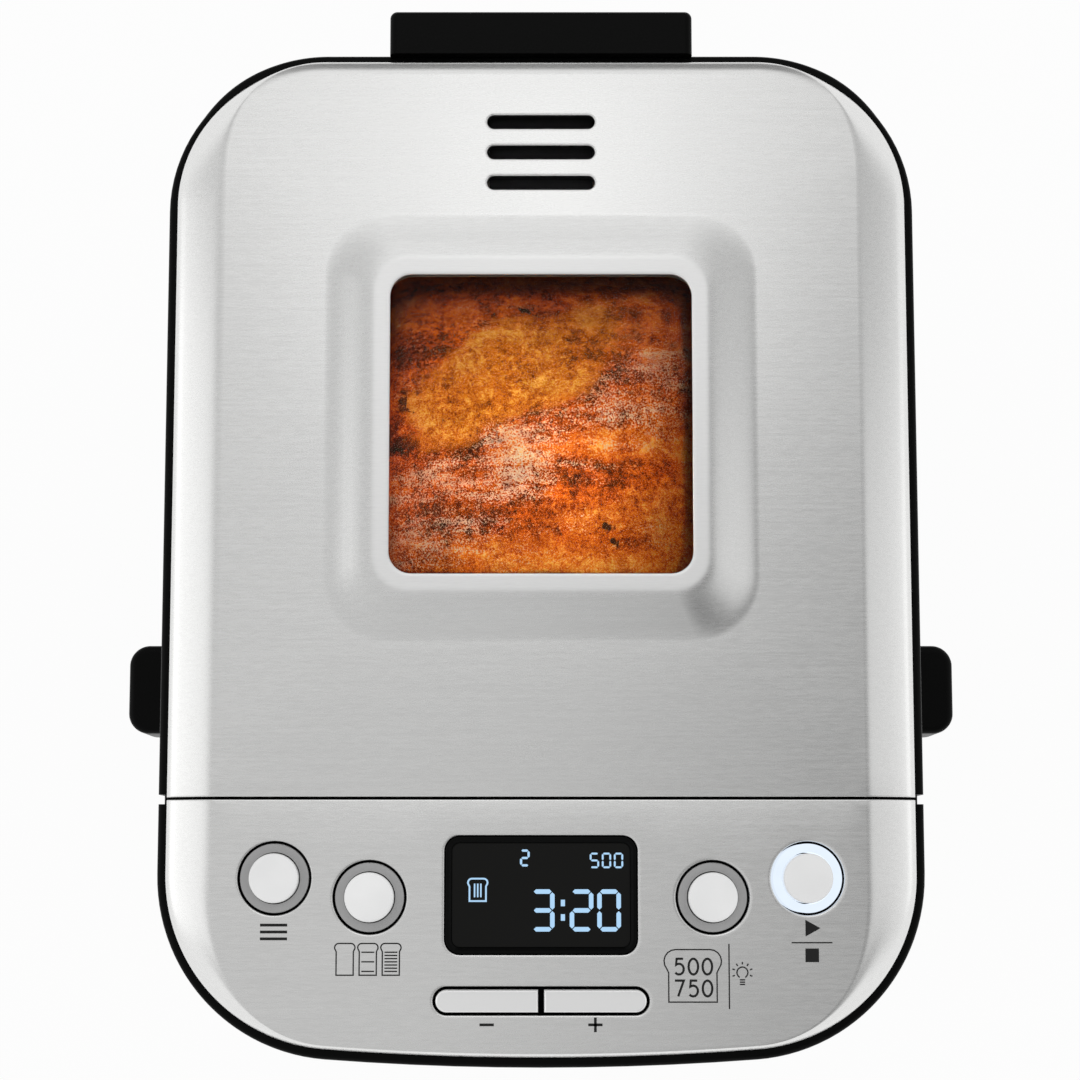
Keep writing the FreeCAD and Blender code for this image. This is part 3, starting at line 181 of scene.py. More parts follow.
# Plain finishes by slot: base colour, roughness, metal, cloud of tone, grain as scale and height in microns
plainLooks = {
    "rim_black": {"base": (0.0026, 0.0027, 0.0026), "rough": 0.34, "mirror": 0.05, "grain": (1400, 30)},
    "inner_black": {"base": (0.006, 0.006, 0.0065), "rough": 0.5, "mirror": 0.2, "grain": (1100, 40)},
    "foot_rubber": {"base": (0.012, 0.012, 0.012), "rough": 0.75, "mirror": 0.2, "grain": (900, 60)},
    "seal_silicone": {"base": (0.014, 0.014, 0.013), "rough": 0.6, "mirror": 0.15, "grain": (700, 30)},
    "button_white": {"base": (0.89, 0.895, 0.895), "rough": 0.32, "grain": (1600, 10)},
    "ring_grey": {"base": (0.36, 0.36, 0.36), "rough": 0.38, "grain": (1500, 10)},
    "key_steel": {"base": (0.88, 0.88, 0.875), "rough": 0.34, "metal": 0.5, "grain": (1500, 4),
        "stretch": (0.04, 1, 1)},
    "chamber_steel": {"base": (0.50, 0.49, 0.47), "rough": 0.42, "metal": 1.0, "cloudGain": 0.12,
        "grain": (300, 40)},
    "plated_steel": {"base": (0.56, 0.56, 0.54), "rough": 0.38, "metal": 1.0, "cloudGain": 0.35,
        "grain": (500, 30)},
    "pan_coating": {"base": (0.030, 0.030, 0.032), "rough": 0.44, "cloudGain": 0.5, "grain": (1900, 20)},
    "bail_steel": {"base": (0.62, 0.62, 0.61), "rough": 0.22, "metal": 1.0, "grain": (700, 10)},
    "heater_sheath": {"base": (0.13, 0.12, 0.11), "rough": 0.55, "metal": 0.7, "cloudGain": 0.5,
        "grain": (600, 40)},
    "bush_bronze": {"base": (0.48, 0.30, 0.14), "rough": 0.36, "metal": 1.0, "cloudGain": 0.3,
        "grain": (900, 20)},
    "pulley_plastic": {"base": (0.55, 0.54, 0.50), "rough": 0.5, "grain": (900, 30)},
    "belt_rubber": {"base": (0.022, 0.022, 0.022), "rough": 0.7, "grain": (1100, 50)},
    "motor_paint": {"base": (0.11, 0.115, 0.12), "rough": 0.45, "metal": 0.3, "cloudGain": 0.3,
        "grain": (800, 40)},
    "board_green": {"base": (0.030, 0.115, 0.055), "rough": 0.4, "cloudGain": 0.4, "grain": (350, 30)},
    "display_glass": {"base": (0.007, 0.007, 0.0066), "rough": 0.14, "mirror": 0.08, "cloudGain": 0.1,
        "grain": (900, 2)},
    "print_ink": {"base": (0.012, 0.012, 0.012), "rough": 0.5, "mirror": 0.2, "cloudGain": 0.1,
        "grain": (1200, 10)},
}
# What a plain finish has where its look doesn't say
plainUsual = {"stretch": (1, 1, 1), "metal": 0.0, "mirror": 0.5, "cloudGain": 0.16, "cloudScale": 45,
              "roughSpread": 0.12}


def plainFinish(name, ownLook):
    look = {**plainUsual, **ownLook}
    made = Finish(name)
    where = made.place(look["stretch"])
    cloud = made.noise(where, look["cloudScale"], 3.0)
    scale, height = look["grain"]
    grain = made.noise(where, scale)
    gain = look["cloudGain"]
    tone = made.mix(cloud, tint(look["base"], 1 - gain), tint(look["base"], 1 + gain))
    made.surface(Base_Color=tone, Roughness=(cloud - 0.5) * look["roughSpread"] + look["rough"],
                 Metallic=look["metal"], Specular_IOR_Level=look["mirror"],
                 Normal=made.bump(grain, height * micron))
    return made.material


# Window opening of the lid: raised frame, sloping down outwards to the flat top
windowMiddle = nodeMiddle("window_glass")
# Lip, frame and slope are given as half width, half depth and corner radius
windowLook = {
    "lip": (41.0 * mm, 41.0 * mm, 6.0 * mm), "frame": (45.3 * mm, 45.7 * mm, 9.5 * mm),
    "slope": (58.5 * mm, 58.5 * mm, 17.0 * mm), "corner": 14, "straight": 0.25,
    "slopeSteps": (-0.12, -0.05, 0.0, 0.06, 0.14, 0.26, 0.4, 0.55, 0.7, 0.82, 0.91, 0.97, 1.0, 1.05),
    "lipSteps": ((1.0, 0.0), (0.4, 0.0), (0.15, 0.05), (0.03, 0.2), (0.0, 0.45)),
}


# Brushed steel: noise drawn out along the brushing direction, in colour, roughness and height.
# Streak and band are given as scale along and across the brushing, then the noise.
brushLook = {
    "bright": (0.82, 0.82, 0.812), "dull": (0.73, 0.73, 0.723), "rough": 0.27, "roughSpread": 0.12,
    "streak": (280, 4600, (1.0, 2.0, 0.6)), "band": (22, 1300, (1.0, 3.0, 0.6)), "streakShare": 0.68,
    "toneRise": (0.3, 0.7), "cloudScale": 14.0, "cloudRough": 0.06, "depth": 4.0 * micron,
    # Last row: painted highlight over the raised window frame, with its share, extra roughness and soft
    # edge
    "burnish": (0.93, 0.93, 0.925), "burnishShare": 0.5, "burnishRough": 0.10, "burnishEdge": 1.5 * mm,
}


def frameMask(made):  # 1 over the raised window frame, fading out past its edge
    halfX, halfY, radius = windowLook["frame"]
    x, y = made.parts(made.node("ShaderNodeTexCoord", output="Object"), "XY")
    pastX = (x - windowMiddle.x).maths("ABSOLUTE") - (halfX - radius)
    pastY = (y - windowMiddle.y).maths("ABSOLUTE") - (halfY - radius)
    outX = pastX.maths("MAXIMUM", 0.0)
    outY = pastY.maths("MAXIMUM", 0.0)
    past = (outX * outX + outY * outY) ** 0.5 + pastX.maths("MAXIMUM", pastY).maths("MINIMUM", 0.0)
    return 1 - past.rise(radius - brushLook["burnishEdge"], radius + brushLook["burnishEdge"])


def brushedFinish(name, alongAxes, gain=1.0, framed=False):
    made = Finish(name)
    look = brushLook
    drawn = []
    for along, across, settings in (look["streak"], look["band"]):
        where = made.place(tuple(along if axis in alongAxes else across for axis in range(3)))
        drawn.append(made.noise(where, *settings))
    worn = drawn[0] * look["streakShare"] + drawn[1] * (1 - look["streakShare"])
    cloud = made.noise(made.place(), look["cloudScale"])
    tone = made.mix(worn.rise(*look["toneRise"]), tint(look["dull"], gain), tint(look["bright"], gain))
    rough = (worn - 0.5) * look["roughSpread"] + (cloud - 0.5) * look["cloudRough"] + look["rough"]
    # Over the raised window frame: a lighter tone mixed in as painted highlight, and a rougher finish
    if framed:
        mask = frameMask(made)
        share = look["burnishShare"]
        tone = made.mix(mask * (worn * (1 - share) + share), tone, tint(look["burnish"], 1))
        rough = rough + mask * look["burnishRough"]
    made.surface(Base_Color=tone, Metallic=1.0, Roughness=rough, Normal=made.bump(worn, look["depth"]))
    return made.material


# Clear pane: lets light through and mirrors more towards grazing view
paneLook = {"tint": (0.97, 0.975, 0.97, 1), "mirror": 0.04, "rough": 0.03, "index": 1.5, "smearScale": 60.0,
            "smear": 0.1}


def paneFinish(name, look):
    made = Finish(name)
    smear = made.noise(made.place(), look["smearScale"], 3.0)
    clear = made.node("ShaderNodeBsdfTransparent", {"Color": look["tint"]})
    shine = made.node("ShaderNodeBsdfGlossy", {"Color": (1, 1, 1, 1), "Roughness": look["rough"]})
    grazing = made.node("ShaderNodeFresnel", {"IOR": look["index"]})
    made.blend(grazing * look["mirror"] * ((smear - 0.5) * look["smear"] + 1.0), clear, shine)
    return made.material


# Lit pieces: the ring of the start button and what the display shows
glowLooks = {"ring_lit": {"glow": (0.79, 0.88, 1.0), "base": (0.05, 0.06, 0.07)},
             "display_glow": {"glow": (0.42, 0.68, 0.95), "base": (0.02, 0.02, 0.02)}}
glowCloud = {"scale": 220.0, "dim": 0.92, "rough": 0.3}


def glowFinish(name, look):
    made = Finish(name)
    cloud = made.noise(made.place(), glowCloud["scale"])
    glow = made.mix(cloud, tint(look["glow"], glowCloud["dim"]), tint(look["glow"], 1))
    made.surface(Base_Color=look["base"] + (1.0,), Roughness=glowCloud["rough"], Emission_Color=glow,
                 Emission_Strength=1.0)
    return made.material


# Crust: a torn golden hollow, red-brown around it, flour in a slanted band, dark holes painted as shade;
# painted shade at the back, the sides and the hollow's lip, painted light to the front.
# Pattern places are in spans from the pattern's middle, turned by the slant.
crustLook = {
    "span": 44.0 * mm, "middle": (0.0, 36.4 * mm), "slantDeg": 29.0, "drift": 0.5,
    "driftNoise": (42.0, 4.0, 0.6), "hollow": (0.06, 0.40), "hollowHalf": (0.92, 0.36),
    "hollowEdge": (0.82, 1.06), "lipIn": (0.92, 1.0), "lipOut": (1.0, 1.14), "glowEdge": (-1.0, -0.3),
    "toneLevel": 0.51, "flour": -0.14, "flourFade": (0.16, 0.448), "flourLevel": -0.18,
    "flourEdge": (0.0, 0.09), "flourOut": 0.9, "flourCover": 0.68, "flourBreak": 1.2, "holeScale": 2.3,
    "holeEdge": (0.05, 0.09), "holeCover": 0.9, "riftEdge": (0.0, 0.07), "riftAlong": (-0.6, 0.1),
    # Painted shade: how far it reaches to the back, right and left, and how strong each is
    "toastBack": (0.45, 1.05), "toastRight": (0.3, 1.1), "toastLeft": (-1.1, -0.45),
    "toastShares": (0.8, 0.85, 0.5), "rough": 0.62, "flourRough": 0.25, "mirror": 0.1, "depth": 1.4 * mm,
}
crustColours = {
    "crust": [(0.30, (0.045, 0.008, 0.002)), (0.41, (0.18, 0.022, 0.002)), (0.52, (0.48, 0.062, 0.003)),
              (0.64, (0.74, 0.15, 0.009)), (0.78, (0.86, 0.36, 0.06))],
    "crumb": [(0.30, (0.12, 0.022, 0.002)), (0.42, (0.36, 0.065, 0.003)), (0.54, (0.56, 0.14, 0.006)),
              (0.72, (0.78, 0.34, 0.055))],
    "flour": (0.58, 0.40, 0.28, 1.0),
    # Near black for the holes and the rift: painted shade
    "hole": (0.022, 0.012, 0.004, 1.0),
    # Multiplied in for painted shade
    "toast": (0.32, 0.16, 0.07, 1.0),
}
# Noises from coarse to fine: scale, detail, roughness, twist
crustNoises = {"patch": (75.0, 5.0, 0.62, 0.0), "mottle": (190.0, 4.0, 0.65, 1.2),
               "fibre": (560.0, 6.0, 0.7, 0.8), "speck": (1900.0, 3.0, 0.7, 0.0)}
# Noises drawn out along the slant: stretch, slants turned, and the noise
crustStreaks = {"streak": ((14, 60, 30), 1.0, (1.0, 4.0, 0.6)),
                "sweep": ((50, 260, 90), 1.5, (1.0, 4.0, 0.65))}
# What each tone is summed from
crustSums = {
    # In these sums lip darkens crust and crumb as painted shade, and glow brightens the crust as painted
    # light
    "crust": {"patch": 0.5, "streak": 0.6, "mottle": 0.4, "fibre": 0.6, "speck": 0.6, "lip": -0.04,
              "glow": 0.14},
    "crumb": {"patch": 0.7, "mottle": 0.5, "fibre": 0.66, "speck": 0.66, "along": -0.03, "lip": -0.05},
    "reach": {"fibre": 0.4, "mottle": 0.7},
    "flour": {"speck": 1.4, "band": 0.15, "sweep": 0.7, "patch": 0.4},
    "hole": {"mottle": 0.2, "fibre": 0.1},
    "rift": {"patch": 0.5, "streak": 0.5},
    "relief": {"patch": 0.5, "mottle": 0.3, "fibre": 0.3, "speck": 0.2, "dark": -0.5},
}


def tonedSum(tones, name, total):
    for tone, share in crustSums[name].items():
        total = tones[tone] * share + total
    return total


slant = math.radians(crustLook["slantDeg"])
slantCos = math.cos(slant)
slantSin = math.sin(slant)


def crustPlace(made):  # along and across the slant, wandering a little
    look = crustLook
    share = 1 / look["span"]
    middleX, middleY = (part * share for part in look["middle"])
    shift = (-middleX * slantCos - middleY * slantSin - look["drift"] / 2,
             middleX * slantSin - middleY * slantCos - look["drift"] / 2, 0)
    flat = made.place((share, share, share), (0, 0, -slant), shift)
    drift = made.noise(made.place(), *look["driftNoise"], output="Color")
    return made.node("ShaderNodeVectorMath", {0: drift, 1: (look["drift"],) * 3, 2: flat},
                     {"operation": "MULTIPLY_ADD"})


def crustTones(made):  # every noise about nought
    tones = {}
    where = made.place()
    for name, settings in crustNoises.items():
        tones[name] = made.noise(where, *settings) - 0.5
    for name, (stretch, turns, settings) in crustStreaks.items():
        tones[name] = made.noise(made.place(stretch, (0, 0, -turns * slant)), *settings) - 0.5
    return tones


def crustFinish():
    look = crustLook
    made = Finish("bread_crust")
    bent = crustPlace(made)
    along, across = made.parts(bent, "XY")
    tones = crustTones(made)

    # Torn hollow with golden crumb, its edge broken by the tone
    runX = (along - look["hollow"][0]) * (1 / look["hollowHalf"][0])
    runY = (across - look["hollow"][1]) * (1 / look["hollowHalf"][1])
    reach = tonedSum(tones, "reach", (runX * runX + runY * runY) ** 0.5)
    hollow = 1 - reach.rise(*look["hollowEdge"])
    tones["along"] = along
    # Lip: ring round the hollow's edge, darkened in crust and crumb as painted shade in the crease
    tones["lip"] = reach.rise(*look["lipIn"]) * (1 - reach.rise(*look["lipOut"]))
    # Painted light: crust made brighter towards the front
    tones["glow"] = 1 - across.rise(*look["glowEdge"])
    crust, crumb = (made.node("ShaderNodeValToRGB", {0: tonedSum(tones, kind, look["toneLevel"])},
                              {"stops": crustColours[kind]}) for kind in ("crust", "crumb"))
    bare = made.mix(hollow, crust, crumb)

    # Flour in grains, thick along one slanted band and thin elsewhere
    tones["band"] = 1 - (across - look["flour"]).maths("ABSOLUTE").rise(*look["flourFade"])
    grains = tonedSum(tones, "flour", look["flourLevel"]).rise(*look["flourEdge"])
    dusted = (1 - hollow * look["flourOut"]) * grains
    cover = tones["mottle"] * look["flourBreak"] + look["flourCover"]
    floury = made.mix(dusted * cover, bare, crustColours["flour"])

    # Holes in the crust and a rift along the left of the hollow's edge, painted near black: painted shade
    # in the pits and the crevice
    cell = made.node("ShaderNodeTexVoronoi", {"Vector": bent, "Scale": look["holeScale"]})
    holes = 1 - tonedSum(tones, "hole", cell).rise(*look["holeEdge"])
    rift = tones["lip"] * tonedSum(tones, "rift", 0.0).rise(*look["riftEdge"])
    dark = holes.maths("MAXIMUM", rift * (1 - along.rise(*look["riftAlong"])))
    tones["dark"] = dark
    pitted = made.mix(dark * look["holeCover"], floury, crustColours["hole"])

    # Painted shade: darker towards the back and both sides
    backward = across * slantCos + along * slantSin
    sideways = along * slantCos - across * slantSin
    ways = (backward.rise(*look["toastBack"]), sideways.rise(*look["toastRight"]),
            1 - sideways.rise(*look["toastLeft"]))
    back, right, left = (way * share for way, share in zip(ways, look["toastShares"]))
    shadeAmount = back.maths("MAXIMUM", right).maths("MAXIMUM", left)
    colour = made.mix(shadeAmount, pitted, crustColours["toast"], "MULTIPLY")
    made.surface(Base_Color=colour, Roughness=dusted * look["flourRough"] + look["rough"],
                 Specular_IOR_Level=look["mirror"],
                 Normal=made.bump(tonedSum(tones, "relief", 0.0), look["depth"]))
    return made.material


finishes = {slot: plainFinish(slot, look) for slot, look in plainLooks.items()}
finishes.update({slot: glowFinish(slot, look) for slot, look in glowLooks.items()})
# The sleeve takes a darker copy of the steel (gain 0.74): painted shade on the upright sides
finishes["brushed_steel"] = brushedFinish("sleeve_steel", (0, 1), 0.74)  # lines run round the body
finishes["bread_crust"] = crustFinish()
finishes["window_glass"] = paneFinish("window_glass", paneLook)
panelSteel = brushedFinish("panel_steel", (0,))
lidSteel = brushedFinish("lid_steel", (0,), framed=True)

slotOf = {row["node"]: row["material_slot"] for row in frame["record"]["subparts"]}
for name, node in nodes.items():
    node.data.materials.clear()
    node.data.materials.append(finishes[slotOf[name]])
print("finishes:", len(finishes))


# Surface building: rings of points joined by strips, flat remainders cut into triangles
class Shell:
    def __init__(self):
        self.points = []
        self.faces = []

    def ring(self, points):
        first = len(self.points)
        self.points.extend(tuple(float(part) for part in point) for point in points)
        return list(range(first, len(self.points)))

    def strip(self, lower, upper, closed):
        count = len(lower)
        for step in range(count if closed else count - 1):
            after = (step + 1) % count
            self.faces.append((lower[step], lower[after], upper[after], upper[step]))

    def strips(self, rings, closed):
        for lower, upper in zip(rings, rings[1:]):
            self.strip(lower, upper, closed)

    def tube(self, rings, closed):  # rings joined round to the first, the ends shut unless it closes
        self.strips(rings + rings[:1], closed)
        if not closed:
            self.faces.append(tuple(ring[0] for ring in rings))
            self.faces.append(tuple(ring[-1] for ring in reversed(rings)))

    def flat(self, outer, holes):  # triangles between one outer loop and convex holes, seen from above
        loops = [outer] + holes
        index = [spot for loop in loops for spot in loop]
        owner = [number for number, loop in enumerate(loops) for spot in loop]
        flatPoints = [Vector(self.points[spot][:2]) for spot in index]
        edges = []
        first = 0
        for loop in loops:
            edges += [(first + step, first + (step + 1) % len(loop)) for step in range(len(loop))]
            first += len(loop)
        filled = geometry.delaunay_2d_cdt(flatPoints, edges, [], 1, hair)
        origin = [source[0] for source in filled[3]]
        for face in filled[2]:
            corners = [origin[corner] for corner in face]
            owners = {owner[corner] for corner in corners}
            if len(owners) > 1 or 0 in owners:
                self.faces.append(tuple(index[corner] for corner in corners))

    def build(self, name, material, body, smooth=True):
        mesh = bpy.data.meshes.new(name)
        mesh.from_pydata(self.points, [], self.faces)
        mesh.validate()
        mesh.materials.append(material)
        mesh.polygons.foreach_set("use_smooth", np.full(len(mesh.polygons), smooth))
        mesh.update()
        piece = placed(name, mesh)
        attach(piece, body)
        return piece


def roundedLoop(middle, halfX, halfY, radius, perCorner):  # anticlockwise rounded rectangle, x and y
    quarter = math.pi / 2
    turn = np.concatenate([np.linspace(0, quarter, perCorner) + side * quarter for side in range(4)])
    signX = np.repeat([1, -1, -1, 1], perCorner)
    signY = np.repeat([1, 1, -1, -1], perCorner)
    x = middle[0] + signX * (halfX - radius) + radius * np.cos(turn)
    y = middle[1] + signY * (halfY - radius) + radius * np.sin(turn)
    spots = np.column_stack([x, y])
    apart = np.linalg.norm(spots - np.roll(spots, 1, axis=0), axis=1)
    return spots[apart > hair]


def level(loop, z):
    return np.column_stack([loop, np.full(len(loop), z)])


# Steel top of lid and panel: upright wall, rounded edge, sloped shoulder that dies out at front and back
topLook = {
    "shoulderRise": 5.2 * mm, "shoulderSide": 13.4 * mm, "shoulderEnd": 1.3 * mm, "shoulderPower": 1.35,
    "turnPower": 2.4, "frontSoft": 0.5, "rollDrop": 2.6 * mm, "rollWidth": 5.0 * mm, "rollPower": 1.5,
    "edgeDrop": 1.3 * mm, "edgeRun": 0.55 * mm, "backRadius": 40.9 * mm, "frontRadius": 46.4 * mm,
    "bowRadius": 776.9 * mm, "sheet": 0.6 * mm, "hem": 0.4 * mm,
    "hemSteps": ((0.7, 0.1), (0.95, 0.45), (1.0, 1.0), (1.0, 100.0)), "slitCount": 40,
    "edgeSteps": (0.0, 0.1, 0.22, 0.36, 0.55, 0.8), "shoulderSteps": 14,
}


def topHeight(inset, width, backward, forward):
    # z = top - rise * (1 - inset / width) ^ power - drop * exp(-inset / run), softer to the front,
    # and a roll of drop * (1 - inset / width) ^ power at the back
    power = topLook["shoulderPower"] + topLook["frontSoft"] * forward
    below = topLook["shoulderRise"] * np.clip(1 - inset / width, 0, 1) ** power
    rolled = np.clip(1 - inset / topLook["rollWidth"], 0, 1) ** topLook["rollPower"]
    below += topLook["rollDrop"] * backward * rolled
    return skinTop - below - topLook["edgeDrop"] * np.exp(-inset / topLook["edgeRun"])


def bandRings(shell, path, normal):
    # Profile carried along the outline: path - normal * inset, with the inset up to just past the shoulder,
    # which is widest where the edge faces sideways
    sideways = np.abs(normal[:, 0]) ** topLook["turnPower"]
    width = topLook["shoulderSide"] * sideways + topLook["shoulderEnd"] * (1 - sideways)
    backward = np.clip(normal[:, 1], 0, 1) ** 2
    forward = np.clip(-normal[:, 1], 0, 1)
    reach = np.maximum(width, topLook["rollWidth"] * backward)
    rings = [shell.ring(level(path, rimTop))]
    edge = [step * mm for step in topLook["edgeSteps"]]
    steps = [(step, 0.0) for step in edge]
    steps += [(edge[-1], share) for share in np.linspace(0, 1, topLook["shoulderSteps"])[1:]]
    for start, share in steps:
        inset = start + share * reach
        spots = path - normal * inset[:, None]
        rings.append(shell.ring(np.column_stack([spots, topHeight(inset, width, backward, forward)])))
    return rings


def hemStrip(shell, rings, line, outward):
    # Edge along the slit: the end of every ring, turned down to the rim over a small round
    across = [ring[0] for ring in rings] + line + [ring[-1] for ring in reversed(rings)]
    x, y, z = np.array([shell.points[spot] for spot in across]).T
    hem = topLook["hem"]
    rows = [across]
    for forward, drop in topLook["hemSteps"]:
        down = np.maximum(rimTop, z - hem * drop)
        rows.append(shell.ring(np.column_stack([x, y + outward * hem * forward, down])))
    shell.strips(rows, False)


def lipLoops(middle, halfX, halfY, radius, perCorner, steps, top):
    # Loops round the edge of a hole, each so much out and so much down
    loops = []
    for grow, drop in steps:
        out = grow * mm
        loop = roundedLoop(middle, halfX + out, halfY + out, radius + out, perCorner)
        loops.append((loop, top - drop * mm))
    return loops


def holeRings(shell, loops, down):
    # Loops from the flat top inwards, then straight down
    rings = [shell.ring(level(loop, z)) for loop, z in loops]
    rings.append(shell.ring(level(loops[-1][0], down)))
    shell.strips(rings, True)
    return rings[0]


# Edge of a punched hole: how far out and how far down each loop lies, in millimetres
pillSteps = ((1.0, 0.0), (0.45, 0.0), (0.2, 0.04), (0.06, 0.16), (0.0, 0.42))


def pillHole(shell, middle, halfX, halfY, radius, perCorner, depth):
    loops = lipLoops(middle, halfX, halfY, radius, perCorner, pillSteps, skinTop)
    return holeRings(shell, loops, skinTop - depth)


def sidePoints(start, end, count):
    return np.column_stack([np.linspace(start[0], end[0], count), np.linspace(start[1], end[1], count)])


def arcPoints(centre, radius, start, end, count):  # and the way that each faces; two radii for an ellipse
    turn = np.radians(np.linspace(start, end, count))
    away = np.column_stack([np.cos(turn), np.sin(turn)])
    return np.array(centre) + np.array(radius) * away, away


def straight(points, way):  # a run with the same normal at every point
    return points, np.tile([float(part) for part in way], (len(points), 1))


def joined(*runs):  # points and normals of all runs
    return [np.concatenate(parts) for parts in zip(*runs)]


def steelTop(name, outline, cutHoles, outward, steel, body):
    shell = Shell()
    rings = bandRings(shell, *outline)
    shell.strips(rings, False)
    # Points of the flat top along the slit, between the ends of the innermost ring
    ends = [shell.points[rings[-1][end]] for end in (0, -1)]
    line = shell.ring(level(sidePoints(*ends, topLook["slitCount"])[1:-1], skinTop))
    shell.flat(rings[-1] + list(reversed(line)), cutHoles(shell))
    hemStrip(shell, rings, line, outward)
    piece = shell.build(name, steel, body)
    sheet = piece.modifiers.new("sheet", "SOLIDIFY")
    sheet.thickness = topLook["sheet"]
    sheet.offset = -1.0
    return piece


def windowRings(shell):
    # Slope: height = rise * (straight * share + (1 - straight) * smoothstep(share)), then a round lip
    look = windowLook
    loops = []
    for share in look["slopeSteps"]:
        sizes = [wide + (tight - wide) * share for wide, tight in zip(look["slope"], look["frame"])]
        eased = np.clip(share, 0, 1)
        climb = look["straight"] * eased + (1 - look["straight"]) * eased * eased * (3 - 2 * eased)
        height = skinTop + (windowTop - skinTop) * climb
        loops.append((roundedLoop(windowMiddle, *sizes, look["corner"]), height))
    loops += lipLoops(windowMiddle, *look["lip"], look["corner"], look["lipSteps"], windowTop)
    return holeRings(shell, loops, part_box("window_glass")[1].z)


# Holes are given as half width, half depth, corner radius and points in a corner
lidLook = {"corner": 40, "side": 24, "back": 20, "vent": (14.8 * mm, 1.9 * mm, 1.9 * mm, 9),
           "ventRows": (-8.6 * mm, 0.0, 8.6 * mm), "ventDepth": 1.2 * mm}


def lidHoles(shell):
    look = lidLook
    vent = nodeMiddle("vent_insert")
    holes = [windowRings(shell)]
    for row in look["ventRows"]:
        holes.append(pillHole(shell, (vent.x, vent.y + row), *look["vent"], look["ventDepth"]))
    return holes


def lidTop():
    look = lidLook
    radius = topLook["backRadius"]
    start = slitLid + topLook["hem"]
    cornerX = skinHalf - radius
    cornerY = skinBack - radius
    outline = joined(
        straight(sidePoints((skinHalf, start), (skinHalf, cornerY), look["side"])[:-1], (1, 0)),
        arcPoints((cornerX, cornerY), radius, 0, 90, look["corner"]),
        straight(sidePoints((cornerX, skinBack), (-cornerX, skinBack), look["back"])[1:-1], (0, 1)),
        arcPoints((-cornerX, cornerY), radius, 90, 180, look["corner"]),
        straight(sidePoints((-skinHalf, cornerY), (-skinHalf, start), look["side"])[1:], (-1, 0)))
    piece = steelTop("lid_top", outline, lidHoles, -1, lidSteel, "lid")
    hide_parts("lid_skin")
    return piece


# Back of the lid rim: it swells a little past the frame between the corners
rimLook = {"swell": 0.95 * mm, "sink": 0.15 * mm, "inside": 2.0 * mm, "edge": 1.6 * mm, "radius": 44.0 * mm,
           "from": 0.5, "to": 0.9, "startDeg": 20, "corner": 40, "edgeSteps": 6}


def rimBack():
    # Profile carried along the back outline: path + normal * (swell * smoothstep(share) - sink),
    # with the top edge a quarter circle
    look = rimLook
    low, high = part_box("lid_frame")
    cornerX = high.x - look["radius"]
    cornerY = high.y - look["radius"]
    path, normal = joined(
        arcPoints((cornerX, cornerY), look["radius"], look["startDeg"], 90, look["corner"]),
        arcPoints((-cornerX, cornerY), look["radius"], 90, 180 - look["startDeg"], look["corner"]))
    share = np.clip((normal[:, 1] - look["from"]) / (look["to"] - look["from"]), 0, 1)
    swell = look["swell"] * share * share * (3 - 2 * share) - look["sink"]
    profile = [(-look["inside"], low.z + look["sink"]), (0.0, low.z + look["sink"])]
    for turn in np.linspace(0, math.pi / 2, look["edgeSteps"]):
        drop = look["edge"] * (1 - math.sin(turn)) + look["sink"]
        profile.append((look["edge"] * (math.cos(turn) - 1), high.z - drop))
    profile.append((-look["inside"], high.z - look["sink"]))
    shell = Shell()
    rings = []
    for out, z in profile:
        rings.append(shell.ring(level(path + normal * (swell + out)[:, None], z)))
    shell.tube(rings, False)
    piece = shell.build("rim_back", finishes["rim_black"], "lid")


# Openings of the panel: four round buttons, display, one pill for the two keys
panelLook = {
    "button": (9.8 * mm, 9.8 * mm, 9.8 * mm, 14), "displayGap": 0.3 * mm, "display": (4.1 * mm, 10),
    "keys": (28.65 * mm, 3.75 * mm, 3.75 * mm, 12), "depth": 1.3 * mm, "corner": 44, "front": 40,
    "side": 8,
}
buttonNames = ("program_button", "crust_button", "size_button", "start_button")


def panelHoles(shell):
    look = panelLook
    low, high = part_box("display_bezel")
    halfX, halfY, _ = (high - low) / 2
    gap = look["displayGap"]
    spots = [(nodeMiddle(name), look["button"]) for name in buttonNames]
    spots.append((nodeMiddle("display_bezel"), (halfX + gap, halfY + gap) + look["display"]))
    spots.append(((0.0, nodeMiddle("plus_key").y), look["keys"]))
    return [pillHole(shell, middle, *hole, look["depth"]) for middle, hole in spots]


def panelTop():
    look = panelLook
    radius = topLook["frontRadius"]
    bow = topLook["bowRadius"]
    start = slitPanel - topLook["hem"]
    bowY = skinFront + bow
    cornerX = skinHalf - radius
    cornerY = bowY - math.sqrt((bow - radius) ** 2 - cornerX ** 2)
    lean = math.degrees(math.atan2(cornerX, bowY - cornerY))
    front = arcPoints((0.0, bowY), bow, 270 - lean, 270 + lean, look["front"])
    outline = joined(
        straight(sidePoints((-skinHalf, start), (-skinHalf, cornerY), look["side"])[:-1], (-1, 0)),
        arcPoints((-cornerX, cornerY), radius, 180, 270 - lean, look["corner"]),
        [part[1:-1] for part in front],
        arcPoints((cornerX, cornerY), radius, 270 + lean, 360, look["corner"]),
        straight(sidePoints((skinHalf, cornerY), (skinHalf, start), look["side"])[1:], (1, 0)))
    piece = steelTop("panel_top", outline, panelHoles, 1, panelSteel, "machine")
    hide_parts("panel_skin")
    return piece


lidPiece = lidTop()
rimBack()
panelPiece = panelTop()
print("steel top:", len(lidPiece.data.polygons), len(panelPiece.data.polygons), "faces")


# Prints and display marks: thin flat plates in one surface, drawn in millimetres
printLook = {"sink": 0.02 * mm, "proud": 0.03 * mm, "fine": 0.36, "bold": 0.72, "mitre": 0.5}


